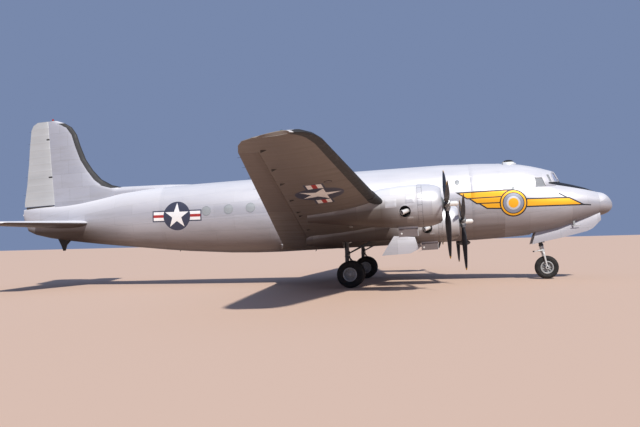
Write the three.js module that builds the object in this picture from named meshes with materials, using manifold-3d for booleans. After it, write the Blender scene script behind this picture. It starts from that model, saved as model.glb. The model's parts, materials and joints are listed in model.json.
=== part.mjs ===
// A four-engined propeller transport plane, parked on its tricycle landing gear.
// Millimetres. +X is forward, +Y is the plane's left and +Z is up, with the ground at Z = 0.
// The airframe's own places are stations aft of the nose tip, and heights above its centre line.
import * as THREE from "three";
import { mergeVertices } from "three/addons/utils/BufferGeometryUtils.js";
import Module from "manifold-3d";

const wasm = await Module();
wasm.setup();
const { Manifold, Mesh: SolidMesh } = wasm;
const degrees = THREE.MathUtils.degToRad;

// Driving dimensions of the whole plane
const LENGTH = 28600;
const HALF_SPAN = 17905;
const MAIN_STATION = 11539;
const NOSE_WHEEL_STATION = 2944;
const CENTRE_LINE_HEIGHT = 3483;
const NOSE_UP = degrees(2.294);
const FIT = 0.4;
const RUN = 6;
const COVE_GAP = 18;
const FLAP_SWEEP = 70;

// Fuselage
const WALL = 90;
const ROUND = 28;
const NOSE_CAP_END = 660;
const COCKPIT_END = 5000;
const CENTRE_START = 9000;
const CENTRE_END = 15400;
const CABIN_END = 21000;
const TAIL_HOLLOW_END = 26200;
const FLOOR_TOP = -600;
const FLOOR_THICK = 80;
// station, top, bottom, half width
const BODY = [
  [0, -590, -660, 35],
  [60, -420, -830, 230],
  [200, -215, -960, 410],
  [400, -80, -1045, 560],
  [660, -10, -1100, 690],
  [1200, 235, -1245, 900],
  [1800, 430, -1410, 1080],
  [2400, 600, -1580, 1215],
  [3230, 880, -1715, 1370],
  [4080, 1270, -1790, 1490],
  [5000, 1560, -1815, 1550],
  [6000, 1685, -1835, 1585],
  [7500, 1755, -1840, 1590],
  [9000, 1765, -1840, 1590],
  [15400, 1790, -1805, 1590],
  [16600, 1795, -1765, 1565],
  [17830, 1795, -1690, 1505],
  [19960, 1785, -1480, 1300],
  [21000, 1765, -1350, 1185],
  [22120, 1710, -1190, 1050],
  [23200, 1620, -1040, 915],
  [24500, 1430, -850, 725],
  [25500, 1310, -690, 560],
  [26200, 1260, -570, 440],
  [27220, 1225, -370, 275],
  [28000, 1205, -150, 150],
  [28400, 1190, 60, 85],
  [28600, 1150, 620, 40],
];
// station, top, bottom, half width of the ridge ahead of the fin
const DORSAL = [
  [19200, 1755, 1360, 60],
  [20000, 1812, 1400, 120],
  [20830, 1868, 1460, 150],
  [22200, 1912, 1400, 190],
  [23230, 1940, 1300, 205],
  [24200, 1900, 1300, 200],
];
// station, top, half width of the raised cockpit roof
const CANOPY = [
  [2120, 860, 600],
  [2420, 1045, 790],
  [3010, 1250, 1050],
  [3450, 1380, 1190],
  [3980, 1510, 1300],
  [4780, 1610, 1440],
  [4980, 1630, 1470],
];
const DORSAL_SIDES = 16;
const CANOPY_BASE = 250;
// The windscreen's two flat faces meet on the centre line and sweep aft by so much for each unit out
const SCREEN = { baseStation: 2180, baseHeight: 520, topStation: 2425, topHeight: 1030, sweep: 0.5 };
const SCREEN_REACH = [-400, 900];
const FRAME_DEPTH = 22;
const GLASS_THICK = 50;
const GLASS_SIDES = 16;
// Glazing outlines: the windscreen's as places out and up, the side panes' as stations and heights
const SCREEN_PANE = [
  [45, 600],
  [690, 560],
  [650, 690],
  [540, 860],
  [400, 945],
  [45, 985],
];
const SIDE_PANES = [
  [
    [2690, 570],
    [2775, 550],
    [2885, 880],
    [2790, 900],
  ],
  [
    [2985, 375],
    [3430, 345],
    [3440, 765],
    [3125, 765],
  ],
];
const GLAZING = [
  [3480, 300],
  [3480, 805],
  [3110, 805],
  [2900, 950],
  [2560, 1015],
  [2000, 1015],
  [2000, 560],
  [2600, 500],
  [2900, 300],
];
const GLAZING_MIDDLE = [2740, 700];
const ASTRODOME = { station: 4440, height: 1500, radius: 330, squash: 0.75 };

// Wing: a panel's places run out from the centre line
const WING = {
  leadingStation: 9150,
  leadingSlope: 0.0955,
  leadingHeight: -1290,
  rise: Math.tan(degrees(8)),
  trailingStation: 15180,
  trailingSlope: -0.1315,
  rootSet: degrees(4.8),
  tipSet: degrees(3.5),
  rootRatio: 0.16,
  tipRatio: 0.12,
  hinge: 0.78,
};
const FLAP_INNER = 1760;
const WING_SPLIT = 9000;
const AILERON_OUTER = 16650;
const TIP_START = 16750;
// place out, share of the chord kept, drop of the rounded wing tip
const TIP = [
  [17300, 0.93, 10],
  [17700, 0.78, 40],
  [HALF_SPAN, 0.5, 80],
];
const TIP_THINNER = 0.85;
// place out, growth of the fillet where the wing meets the body
const FILLET = [
  [1150, 110],
  [1400, 105],
  [1530, 45],
  [1680, 12],
  [1900, 0],
];
const JACK_PAD = { y: 5400, along: 0.36, radius: 75, height: 40 };
const BELLY_FRONT = 9500;
const BELLY_BACK = 14900;
const BELLY_TOP = -1300;

// Tail surfaces
const TAILPLANE = {
  height: 225,
  leadingStation: 24760,
  leadingSlope: 0.22,
  trailingStation: 27950,
  trailingSlope: -0.06,
  innerY: 80,
  outerY: 5800,
  tipY: 6020,
  hinge: 0.64,
  rootRatio: 0.12,
  tipRatio: 0.1,
  tipThinner: 0.7,
};
// place out, share of the chord kept at the rounded tip
const TAIL_TIP = [
  [5950, 0.85],
  [6020, 0.55],
];
const ELEVATOR_INNER = 520;
const ELEVATOR_OUTER = 5730;
// height, leading station, trailing station, thickness of the fin and rudder together
const FIN = [
  [1000, 22400, 28560, 470],
  [1500, 22600, 28530, 460],
  [1900, 23230, 28450, 430],
  [2070, 23810, 28420, 415],
  [2400, 24350, 28350, 395],
  [2890, 24770, 28290, 370],
  [3460, 25120, 28200, 340],
  [4190, 25380, 28120, 300],
  [4770, 25540, 28040, 265],
  [5160, 25790, 27980, 235],
  [5400, 26150, 27860, 200],
  [5550, 26550, 27620, 140],
];
const RUDDER_HINGE = { low: 26905, high: 27060, lowHeight: 1250, highHeight: 5550 };
const RUDDER_BOTTOM = 1285;

// Engines, each as a unit placed by its propeller's plane
const ENGINES = [
  { name: "outer_left", y: 8176, plane: 7559, height: -422, blade: 38, outer: true },
  { name: "inner_left", y: 3765, plane: 6842, height: -1017, blade: -17, outer: false },
  { name: "inner_right", y: -3765, plane: 6842, height: -1017, blade: 2, outer: false },
  { name: "outer_right", y: -8176, plane: 7559, height: -422, blade: -11, outer: true },
];
const PROP_RADIUS = 2030;
const SHAFT_RADIUS = 65;
const COWL_FRONT = 190;
const COWL_BACK = 1040;
const COWL_RADIUS = 775;
const COWL_LIP = 610;
const COWL_WALL = 45;
const COWL_SIDES = 20;
// How far the inside of the cowl's lip lies aft of its outside, ahead of where it straightens
const LIP_SET = 14;
const LIP_END = 500;
const ENGINE_RADIUS = 620;
const SHAFT = { front: 60, back: 240 };
// from, to, radius at each end, sides: the block and the gear case, aft of the propeller's plane
const ENGINE_RODS = [
  [430, COWL_BACK - FIT, ENGINE_RADIUS, ENGINE_RADIUS, COWL_SIDES],
  [120, 440, 300, 420, 16],
];
// from, to, radius: the hub and its dome, which ends in a ball
const HUB_RODS = [
  [110, -90, 150],
  [-80, -330, 95],
];
const HUB_SIDES = 14;
const DOME = { place: -330, radius: 95, squash: 1.1 };
// station aft of the propeller's plane, radius
const COWL_OUTSIDE = [
  [COWL_FRONT, COWL_LIP - 45],
  [COWL_FRONT + 90, COWL_LIP + 62],
  [COWL_FRONT + 260, COWL_LIP + 125],
  [COWL_FRONT + 520, COWL_RADIUS],
  [COWL_BACK, COWL_RADIUS],
];
// station aft of the propeller's plane, top, bottom, half width, all from the thrust line
const OUTER_NACELLE = [
  [COWL_BACK + FIT, 775, -775, 775],
  [1700, 770, -765, 765],
  [2400, 700, -700, 700],
  [3200, 480, -610, 590],
  [4100, 230, -490, 430],
  [5100, 10, -330, 110],
];
const INNER_NACELLE = [
  [COWL_BACK + FIT, 775, -775, 775],
  [2000, 780, -790, 785],
  [3000, 770, -810, 780],
  [4200, 560, -830, 750],
  [5200, 330, -790, 640],
  [6100, 80, -690, 420],
  [6640, -150, -560, 110],
];
// Exhaust port and cooler outlet of each nacelle, from its propeller's plane and thrust line
const PORT = { aft: 1490, drop: 190, radius: 200, depth: 190, reach: 2000, sides: 16 };
// The pipe in the port: from and to as places aft, past the port's floor or mouth, and up
const PIPE = { from: [-110, -60, 30], to: [95, 25, -30], radius: 78, sides: 10 };
const COOLER = { front: 1085, back: 1780, low: -1080, half: 250, wall: 35, mouth: 350, opening: 265 };
// radius, chord, thickness, pitch from the plane of turning in degrees
const BLADE = [
  [60, 150, 150, 60],
  [330, 150, 120, 55],
  [560, 270, 80, 46],
  [900, 335, 54, 36],
  [1300, 335, 38, 27],
  [1700, 285, 26, 22],
  [1930, 200, 18, 19],
  [PROP_RADIUS, 90, 10, 18],
];

// Landing gear
const TYRE_RADIUS = 562.5;
const TYRE_WIDTH = 390;
const RIM_RADIUS = 275;
const TWIN = 430;
const TRACK_HALF = 3765;
const AXLE_RADIUS = 60;
const AXLE_PAST = 15;
const HUB_BORE = 40;
// A tyre's section: how far its bead, shoulder and tread lie in from its side, and its widest place
const TYRE_BEAD = 50;
const TYRE_WALL = 120;
const TYRE_SHOULDER = { set: 35, drop: 70 };
const TYRE_TREAD = 100;
// The oleo leg stands aft of its axle, and a crank joins them
const LEG_RADIUS = 105;
const LEG = {
  aft: -165,
  foot: 640,
  top: 1990,
  sides: 12,
  sleeve: 160,
  sleeveRadius: 130,
  trunnion: 90,
  crossSides: 8,
};
// ahead and height of the two ends, out of the two ends, radii of the two ends: the braces and torque links
const LEG_BRACE = { from: [-125, 1420, 60], to: [1150, 2060, 330], radius: 38 };
const LINK_ELBOW = [150, 1010];
const LINKS = [
  [-115, 720, 34, 24],
  [-115, 1300, 34, 24],
];
const THIN_SIDES = 6;
const NOSE_RAKE = degrees(12);
const NOSE_TYRE_RADIUS = 530;
const RIM_HALF = 160;
const WHEEL_SIDES = 24;
const NOSE_ARM = 250;
const NOSE_AXLE_RADIUS = 45;
const NOSE_AXLE_REACH = 295;
const SWIVEL = { radius: 60, below: 60, above: 220 };
// Heights along the steering axis from the axle: the fork's shoulder and its top
const SHOULDER = 680;
const FORK_TOP = 980;
// Fork: an arm's radii at its foot and shoulder, its boss at the axle, and the yoke that joins the arms
const ARM = { foot: 40, shoulder: 52, sides: 8, bossHalf: 32, boss: 85, bossSides: 12 };
const YOKE = { drop: 10, spread: 10, rise: 110, radius: 62, end: 80 };
const CROWN = { start: 40, radius: 98, sides: 14 };
const TOW_ARM = { from: 110, to: 70, aft: 400, radius: 42 };
// Strut above the fork: its length and radius, its cross tube, and the brace that runs forward and up
const STRUT = { reach: 800, radius: 110, sides: 18, cross: 80, crossSides: 14 };
const DRAG_BRACE = { start: 300, ahead: 900, rise: 120, radius: 40, sides: 10 };
// Gear doors: thickness, the steps down their height, and the share of a half wave that they bow through
const GEAR_DOOR_THICK = 30;
const GEAR_DOOR_STEPS = [0, 0.3, 0.65, 1];
const GEAR_DOOR_WAVE = 0.75;
const MAIN_DOOR_PLACE = { past: 112, bow: 60 };
const NOSE_DOOR_PLACE = { past: 40, bow: 50 };
// Openings for the gear, and its doors as outlines of station and height
const WELL = { front: 900, back: 3700, half: 380, top: -700 };
const BAY = { front: 8750, back: 11900, half: 560, top: -1150 };
// top station, top height, low station, low height of the gear doors' rows
const MAIN_DOOR = [
  [8860, -1530, 8730, -2030],
  [9000, -1515, 9080, -2190],
  [9720, -1440, 10260, -2215],
];
const NOSE_DOOR = [
  [640, -910, 620, -1300],
  [950, -1020, 990, -1640],
  [1260, -1120, 1260, -1760],
  [2370, -1450, 2370, -1980],
  [3270, -1600, 3270, -2120],
  [3480, -1630, 3700, -2210],
];
// Tail bumper: outline of station and height
const BUMPER = [
  [26050, -500],
  [26870, -350],
  [26620, -830],
  [26560, -1040],
  [26480, -1040],
  [26400, -830],
];
const BUMPER_THICK = 90;

// Cargo door on the left
const DOOR = {
  front: 16950,
  back: 19340,
  low: -590,
  high: 1100,
  edge: 8,
  proud: 20,
  barrel: 12,
  strap: 60,
  knuckle: 110,
  sides: 12,
  sweepSides: 56,
};

// Colours of the finishes
const SILVER = ["#b9bcbe", 0.42, 0.6];
const STEEL = ["#8d9196", 0.35, 0.8];
const BLACK_PAINT = ["#161719", 0.55, 0.1];
const TYRE_RUBBER = ["#1b1b1c", 0.9, 0];
const GLASS = ["#20272c", 0.1, 0];
const CABIN_GREEN = ["#6d7a68", 0.7, 0];

// Solids
const vec = (x, y, z) => new THREE.Vector3(x, y, z);
const UPWARD = vec(0, 0, 1);
const FORWARD = vec(1, 0, 0);
const ACROSS = vec(0, 1, 0);
const WELD = 1e-3;

function closed(points, faces) {
  const geometry = new THREE.BufferGeometry();
  geometry.setAttribute("position", new THREE.Float32BufferAttribute(points.flatMap((p) => p.toArray()), 3));
  geometry.setIndex(faces.flat());
  const merged = mergeVertices(geometry, WELD);
  const index = merged.index.array;
  const kept = [];
  for (let i = 0; i < index.length; i += 3) {
    const [a, b, c] = [index[i], index[i + 1], index[i + 2]];
    if (a !== b && b !== c && c !== a) kept.push([a, b, c]);
  }
  const position = merged.getAttribute("position");
  const corner = (i) => vec(0, 0, 0).fromBufferAttribute(position, i);
  const volume = kept.reduce((sum, [i, j, k]) => sum + corner(i).dot(corner(j).cross(corner(k))), 0);
  merged.setIndex((volume < 0 ? kept.map((f) => [f[0], f[2], f[1]]) : kept).flat());
  return merged;
}

function solidOf(geometry) {
  const bare = new THREE.BufferGeometry();
  bare.setAttribute("position", geometry.getAttribute("position"));
  bare.setIndex(geometry.index);
  const merged = mergeVertices(bare, WELD);
  return new Manifold(
    new SolidMesh({
      numProp: 3,
      vertProperties: new Float32Array(merged.getAttribute("position").array),
      triVerts: new Uint32Array(merged.index.array),
    }),
  );
}

// The solid as a geometry: only its largest body, without the slivers that a cut may leave.
function geometryOf(solid) {
  const bodies = solid.decompose();
  bodies.sort((one, other) => other.volume() - one.volume());
  const mesh = bodies[0].getMesh();
  const geometry = new THREE.BufferGeometry();
  geometry.setAttribute("position", new THREE.Float32BufferAttribute(mesh.vertProperties, 3));
  geometry.setIndex(Array.from(mesh.triVerts));
  return geometry;
}

const join = (...geometries) => geometryOf(geometries.map(solidOf).reduce((sum, one) => sum.add(one)));
const cut = (geometry, ...tools) =>
  geometryOf(tools.map(solidOf).reduce((left, tool) => left.subtract(tool), solidOf(geometry)));
const common = (geometry, other) => geometryOf(solidOf(geometry).intersect(solidOf(other)));
// What lies on one side of a plane: the side that the normal points to.
const trimmed = (geometry, point, normal) =>
  geometryOf(solidOf(geometry).trimByPlane(normal.toArray(), normal.dot(point)));
function capOf(ring) {
  const normal = vec(0, 0, 0);
  ring.forEach((p, i) => normal.add(p.clone().cross(ring[(i + 1) % ring.length])));
  const size = normal.toArray().map(Math.abs);
  const drop = size.indexOf(Math.max(...size));
  const flat = ring.map((p) => new THREE.Vector2(...p.toArray().filter((_, axis) => axis !== drop)));
  const turn = Math.sign(THREE.ShapeUtils.area(flat));
  return THREE.ShapeUtils.triangulateShape(flat, []).map((f) => {
    const same = Math.sign(THREE.ShapeUtils.area(f.map((i) => flat[i]))) === turn;
    return same ? f : [f[0], f[2], f[1]];
  });
}

// A closed body through rings of equal count, capped at its ends or joined end to end in a loop.
function loft(rings, loop = false) {
  const count = rings[0].length;
  const faces = [];
  const spans = loop ? rings.length : rings.length - 1;
  for (let r = 0; r < spans; r++) {
    const a = r * count;
    const b = ((r + 1) % rings.length) * count;
    for (let i = 0; i < count; i++) {
      const j = (i + 1) % count;
      faces.push([a + i, a + j, b + j], [a + i, b + j, b + i]);
    }
  }
  if (!loop) {
    const last = (rings.length - 1) * count;
    for (const f of capOf(rings[0])) faces.push([f[0], f[2], f[1]]);
    for (const f of capOf(rings.at(-1))) faces.push(f.map((i) => i + last));
  }
  return closed(rings.flat(), faces);
}

function bare(geometry) {
  geometry.deleteAttribute("normal");
  geometry.deleteAttribute("uv");
  return mergeVertices(geometry, WELD);
}
function box(low, high) {
  const size = high.clone().sub(low);
  const geometry = new THREE.BoxGeometry(size.x, size.y, size.z);
  geometry.translate(...low.clone().add(high).multiplyScalar(0.5).toArray());
  return bare(geometry);
}
// A round bar from one point to another.
function rod(from, to, radius, sides = 14, endRadius = radius) {
  const along = to.clone().sub(from);
  const geometry = bare(new THREE.CylinderGeometry(endRadius, radius, along.length(), sides));
  geometry.translate(0, along.length() / 2, 0);
  geometry.applyQuaternion(new THREE.Quaternion().setFromUnitVectors(ACROSS, along.normalize()));
  geometry.translate(...from.toArray());
  return geometry;
}
// A profile of [along, radius] turned about an axis through the centre; it closes on itself.
function turned(profile, centre, axis, sides, start = 0) {
  const turn = new THREE.Quaternion().setFromUnitVectors(FORWARD, axis);
  const ring = (_, i) => {
    const angle = start + (2 * Math.PI * i) / sides;
    const place = ([along, radius]) => vec(along, radius * Math.cos(angle), radius * Math.sin(angle));
    return profile.map((pair) => place(pair).applyQuaternion(turn).add(centre));
  };
  return loft(Array.from({ length: sides }, ring), true);
}
const BALL_SIDES = [12, 6];
function ball(centre, radius, squash) {
  const geometry = bare(new THREE.SphereGeometry(radius, ...BALL_SIDES));
  geometry.scale(1, 1, squash);
  geometry.translate(...centre.toArray());
  const position = geometry.getAttribute("position");
  const point = (_, i) => vec(0, 0, 0).fromBufferAttribute(position, i);
  const points = Array.from({ length: position.count }, point);
  const corner = (face) => [0, 1, 2].map((k) => geometry.index.getX(3 * face + k));
  return closed(points, Array.from({ length: geometry.index.count / 3 }, (_, face) => corner(face)));
}

// Places
const BIG = 40000;
const mix = (a, b, t) => a + (b - a) * t;
const at = (station, y, z) => vec(MAIN_STATION - station, y, z);
// A point given by its distance ahead of the main wheels and its height above the ground.
const parked = (ahead, y, height) =>
  vec(ahead, y, height - CENTRE_LINE_HEIGHT).applyAxisAngle(ACROSS, NOSE_UP);
const SIDES = [
  { name: "left", way: 1 },
  { name: "right", way: -1 },
];

// Fuselage shapes
function bodyRow(station) {
  const i = Math.min(BODY.findIndex((row) => row[0] >= station), BODY.length - 1);
  if (i === 0) return BODY[0];
  const t = (station - BODY[i - 1][0]) / (BODY[i][0] - BODY[i - 1][0]);
  return BODY[i].map((value, column) => mix(BODY[i - 1][column], value, t));
}
// The least half size that an inset leaves of a row
const LEAST = 5;
function ovalRing([station, top, bottom, half], inset = 0, y = 0, sides = ROUND) {
  const middle = (top + bottom) / 2;
  const wide = Math.max(half - inset, LEAST);
  const tall = Math.max((top - bottom) / 2 - inset, LEAST);
  return Array.from({ length: sides }, (_, i) => {
    const angle = (2 * Math.PI * i) / sides;
    return at(station, y + wide * Math.cos(angle), middle + tall * Math.sin(angle));
  });
}
function bodyRows(from, to) {
  return [bodyRow(from), ...BODY.filter((row) => row[0] > from && row[0] < to), bodyRow(to)];
}
function bodySolid(from, to, inset = 0, sides = ROUND) {
  return loft(bodyRows(from, to).map((row) => ovalRing(row, inset, 0, sides)));
}
function bodyTube(from, to) {
  const outside = bodyRows(from, to).map((row) => ovalRing(row));
  const inside = bodyRows(from, to).map((row) => ovalRing(row, WALL));
  return loft([...outside, ...inside.reverse()], true);
}
// A prism through the whole width from an outline of stations and heights.
const sidePrism = (outline) => loft([-BIG, BIG].map((y) => outline.map(([station, z]) => at(station, y, z))));

// Flying surfaces: section points are [aft, up] from the leading edge, on a chord of one
const ALONG = [0, 0.012, 0.04, 0.1, 0.2, 0.33, 0.48, 0.62, 0.76, 0.89, 1];
const BLUNT = 7;
const BLUNT_GROWTH = 4;
const CAMBER_PEAK = 0.2025;
const CAMBER_RISE = 15.957 / 6;
const halfThickness = (x, ratio) =>
  5 * ratio * (0.2969 * Math.sqrt(x) - 0.126 * x - 0.3516 * x ** 2 + 0.2843 * x ** 3 - 0.1036 * x ** 4);
function camberAt(x) {
  if (x > CAMBER_PEAK) return CAMBER_RISE * CAMBER_PEAK ** 3 * (1 - x);
  return CAMBER_RISE * (x ** 3 - 3 * CAMBER_PEAK * x ** 2 + CAMBER_PEAK ** 2 * (3 - CAMBER_PEAK) * x);
}
function skin(section, x, way, grow = 0) {
  const blunt = BLUNT * Math.min(1, x * BLUNT_GROWTH);
  const half = Math.max(halfThickness(x, section.ratio) * section.chord, blunt);
  return [x * section.chord, section.camber * camberAt(x) * section.chord + way * (half + grow)];
}
function placed(section, [aft, up]) {
  const back = aft * Math.cos(section.set) + up * Math.sin(section.set);
  const high = up * Math.cos(section.set) - aft * Math.sin(section.set);
  return section.leading.clone().add(vec(-back, 0, 0)).addScaledVector(section.up, high);
}
function foilRing(section, grow = 0) {
  const over = ALONG.slice(1).reverse().map((x) => skin(section, x, 1, grow));
  const under = ALONG.slice(1).map((x) => skin(section, x, -1, grow));
  over[0][0] += grow;
  under[under.length - 1][0] += grow;
  return [...over, [-grow, 0], ...under].map((point) => placed(section, point));
}

// A control surface turns about its hinge at a share of the chord, on a round nose in a round cove
const NOSE_STEPS = 8;
const CONTROL_STEPS = [1, 0.66, 0.33];
const COVE_REACH = 1.1;
const COVE_HEIGHT = 0.3;
const hingePlace = (section, hinge) => [
  hinge * section.chord,
  section.camber * camberAt(hinge) * section.chord,
];
const hingePoint = (section, hinge) => placed(section, hingePlace(section, hinge));
function noseArc(section, hinge, grow) {
  const [aft, up] = hingePlace(section, hinge);
  const radius = halfThickness(hinge, section.ratio) * section.chord + grow;
  return Array.from({ length: NOSE_STEPS + 1 }, (_, i) => {
    const angle = Math.PI / 2 + (Math.PI * i) / NOSE_STEPS;
    return [aft + radius * Math.cos(angle), up + radius * Math.sin(angle)];
  });
}
function controlRing(section, hinge) {
  const along = CONTROL_STEPS.map((t) => mix(hinge, 1, t));
  const over = along.map((x) => skin(section, x, 1));
  const under = along.reverse().map((x) => skin(section, x, -1));
  return [...over, ...noseArc(section, hinge, 0), ...under].map((point) => placed(section, point));
}
function coveRing(section, hinge, gap = COVE_GAP) {
  const [aft, up] = hingePlace(section, hinge);
  const far = section.chord * COVE_REACH;
  const tall = section.chord * COVE_HEIGHT;
  const over = [[far, up + tall], [aft, up + tall]];
  const under = [[aft, up - tall], [far, up - tall]];
  return [...over, ...noseArc(section, hinge, gap), ...under].map((point) => placed(section, point));
}

// The plane's group, tilted nose up as it stands on its gear
const plane = new THREE.Group();
const airframe = new THREE.Group();
airframe.rotation.y = -NOSE_UP;
airframe.position.z = CENTRE_LINE_HEIGHT;
plane.add(airframe);

function piece(name, geometry, [color, roughness, metalness]) {
  const flat = geometry.toNonIndexed();
  flat.computeVertexNormals();
  const mesh = new THREE.Mesh(flat, new THREE.MeshStandardMaterial({ color, roughness, metalness }));
  mesh.name = name;
  airframe.add(mesh);
  return mesh;
}
// A piece that turns: its own origin lies on its axis, which is its own +Z.
function turning(name, geometry, finish, origin, axis) {
  const turn = new THREE.Quaternion().setFromUnitVectors(UPWARD, axis.clone().normalize());
  const frame = new THREE.Matrix4().makeRotationFromQuaternion(turn).setPosition(origin);
  const mesh = piece(name, geometry.clone().applyMatrix4(frame.clone().invert()), finish);
  mesh.applyMatrix4(frame);
  return mesh;
}

// A pin that turns with one piece, and the bore it runs in: its facets clear the bore's at any angle.
const PIN_SIDES = 20;
const HINGE_PIN = 22;
const PIN_REACH = 80;
const pin = (from, to, radius) => rod(from, to, radius, PIN_SIDES);
function bore(from, to, radius) {
  const past = to.clone().sub(from).setLength(RUN);
  const clear = radius / Math.cos(Math.PI / PIN_SIDES) + FIT / 2;
  return rod(from.clone().sub(past), to.clone().add(past), clear, PIN_SIDES);
}
// The two ends of a control surface's pin, through one end of its hinge line.
function pinEnds(end, other) {
  const out = end.clone().sub(other).setLength(PIN_REACH);
  return [end.clone().sub(out), end.clone().add(out)];
}
// A control surface with its ends square to its hinge line.
const OVERRUN = 300;
function surface(sectionAt, hinge, inner, outer) {
  const ends = [inner - OVERRUN, outer + OVERRUN];
  const [start, end] = ends.map((y) => hingePoint(sectionAt(y), hinge));
  const along = (y) => start.clone().lerp(end, (y - ends[0]) / (ends[1] - ends[0]));
  const [from, to] = [along(inner), along(outer)];
  const out = to.clone().sub(from).normalize();
  const whole = loft(ends.map((y) => controlRing(sectionAt(y), hinge)));
  return { body: trimmed(trimmed(whole, from, out), to, out.clone().negate()), from, to, out };
}
// The cove around the surfaces from a first one to a last one, through the places between them.
function coveAround(sectionAt, hinge, places, first, last) {
  const reach = [places[0] - OVERRUN, ...places.slice(1, -1), places.at(-1) + OVERRUN];
  const whole = loft(reach.map((y) => coveRing(sectionAt(y), hinge)));
  const inner = trimmed(whole, first.from.clone().addScaledVector(first.out, -RUN * 2), first.out);
  return trimmed(inner, last.to.clone().addScaledVector(last.out, RUN * 2), last.out.clone().negate());
}

// Wing
function wingSection(y, side) {
  const t = y / HALF_SPAN;
  const leading = WING.leadingStation + WING.leadingSlope * y;
  return {
    leading: at(leading, side * y, WING.leadingHeight + WING.rise * y),
    chord: WING.trailingStation + WING.trailingSlope * y - leading,
    ratio: mix(WING.rootRatio, WING.tipRatio, t),
    camber: 1,
    set: mix(WING.rootSet, WING.tipSet, t),
    up: UPWARD,
  };
}
function tipSection([y, share, drop], side) {
  const section = wingSection(y, side);
  const lost = section.chord * (1 - share);
  section.chord *= share;
  section.leading.add(vec(-lost / 2, 0, -drop));
  section.ratio *= TIP_THINNER;
  return section;
}
const halfRows = [...FILLET, [WING_SPLIT, 0]];
const centreRows = [
  ...[...halfRows].reverse().map(([y, grow]) => [y, grow, 1]),
  ...halfRows.map(([y, grow]) => [y, grow, -1]),
];
const wholeWing = (extra) =>
  loft(centreRows.map(([y, grow, way]) => foilRing(wingSection(y, way), grow + extra)));
const wingHole = wholeWing(FIT * 2);
const bellyBox = (grow) =>
  box(at(BELLY_BACK + grow, -BIG, -BIG), at(BELLY_FRONT - grow, BIG, BELLY_TOP + grow));
const belly = common(bodySolid(BELLY_FRONT, BELLY_BACK), bellyBox(0));
const jackPads = SIDES.map(({ way }) => {
  const section = wingSection(JACK_PAD.y, way);
  const under = placed(section, skin(section, JACK_PAD.along, -1));
  const foot = under.clone().add(vec(0, 0, -JACK_PAD.height));
  return rod(foot, under.clone().add(vec(0, 0, JACK_PAD.height * 2)), JACK_PAD.radius, 10);
});
const wings = SIDES.map(({ name, way }) => {
  const sectionAt = (y) => wingSection(y, way);
  const flap = surface(sectionAt, WING.hinge, FLAP_INNER + RUN * 3, WING_SPLIT - RUN);
  const aileron = surface(sectionAt, WING.hinge, WING_SPLIT + RUN, AILERON_OUTER);
  const flapPin = pinEnds(flap.from, flap.to);
  const aileronPin = pinEnds(aileron.to, aileron.from);
  const places = [FLAP_INNER, WING_SPLIT, AILERON_OUTER];
  const cove = coveAround(sectionAt, WING.hinge, places, flap, aileron);
  return { name, way, sectionAt, flap, aileron, flapPin, aileronPin, cove };
});
const centreCuts = wings.flatMap((wing) => [wing.cove, bore(...wing.flapPin, HINGE_PIN)]);
piece("wing_center_section", cut(join(wholeWing(0), belly, ...jackPads), ...centreCuts), SILVER);
for (const wing of wings) {
  const straight = [WING_SPLIT + FIT, TIP_START].map((y) => foilRing(wing.sectionAt(y)));
  const panel = loft([...straight, ...TIP.map((row) => foilRing(tipSection(row, wing.way)))]);
  piece(`wing_outer_${wing.name}`, cut(panel, wing.cove, bore(...wing.aileronPin, HINGE_PIN)), SILVER);
  const surfaces = [
    ["flap", wing.flap, wing.flapPin],
    ["aileron", wing.aileron, wing.aileronPin],
  ];
  for (const [label, { body, from, out }, ends] of surfaces) {
    const axis = out.clone().multiplyScalar(wing.way);
    turning(`${label}_${wing.name}`, join(body, pin(...ends, HINGE_PIN)), SILVER, from, axis);
  }
}

// Nose and cockpit: a canopy on the body, with a windscreen of two flat faces
const screenNormal = (way) => {
  const up = vec(SCREEN.baseStation - SCREEN.topStation, 0, SCREEN.topHeight - SCREEN.baseHeight);
  const out = vec(-SCREEN.sweep, way, 0);
  return up.cross(out).normalize().multiplyScalar(way);
};
// The half of a shape on one side of the windscreen's face, moved aft by an inset.
function screened(geometry, way, inset, keepAft) {
  const normal = screenNormal(way);
  const point = at(SCREEN.baseStation, 0, SCREEN.baseHeight).addScaledVector(normal, inset);
  return trimmed(geometry, point, keepAft ? normal : normal.negate());
}
function canopyShape(inset, sides) {
  const rows = CANOPY.map(([station, top, half]) => [
    station,
    top - inset,
    2 * CANOPY_BASE - top + inset,
    half - inset,
  ]);
  const whole = loft(rows.map((row) => ovalRing(row, 0, 0, sides)));
  return SIDES.reduce((shape, { way }) => screened(shape, way, inset, true), whole);
}
function noseCore(inset, sides = ROUND) {
  return join(bodySolid(NOSE_CAP_END, COCKPIT_END, inset, sides), canopyShape(inset, sides));
}
const screenPanes = SIDES.map(({ way }) => {
  const prism = loft(
    SCREEN_REACH.map((past) => SCREEN_PANE.map(([y, z]) => at(SCREEN.baseStation + past, way * y, z))),
  );
  return screened(prism, way, FRAME_DEPTH + FIT * 2, false);
});
const paneCore = noseCore(FRAME_DEPTH + FIT * 2);
const sidePanes = SIDE_PANES.map((outline) => solidOf(sidePrism(outline)).subtract(solidOf(paneCore)));
const glassBand = sidePrism(GLAZING);
const outward = (value, middle) => value + Math.sign(value - middle) * FIT * 2;
const channelBand = sidePrism(
  GLAZING.map(([station, z]) => [outward(station, GLAZING_MIDDLE[0]), outward(z, GLAZING_MIDDLE[1])]),
);
const glassCore = noseCore(FRAME_DEPTH);
const behindGlass = noseCore(FRAME_DEPTH + GLASS_THICK, GLASS_SIDES);
piece("cockpit_windows", cut(common(glassCore, glassBand), behindGlass), GLASS);
const channel = cut(
  common(noseCore(FRAME_DEPTH - FIT), channelBand),
  noseCore(FRAME_DEPTH + GLASS_THICK + FIT, GLASS_SIDES),
);
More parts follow.
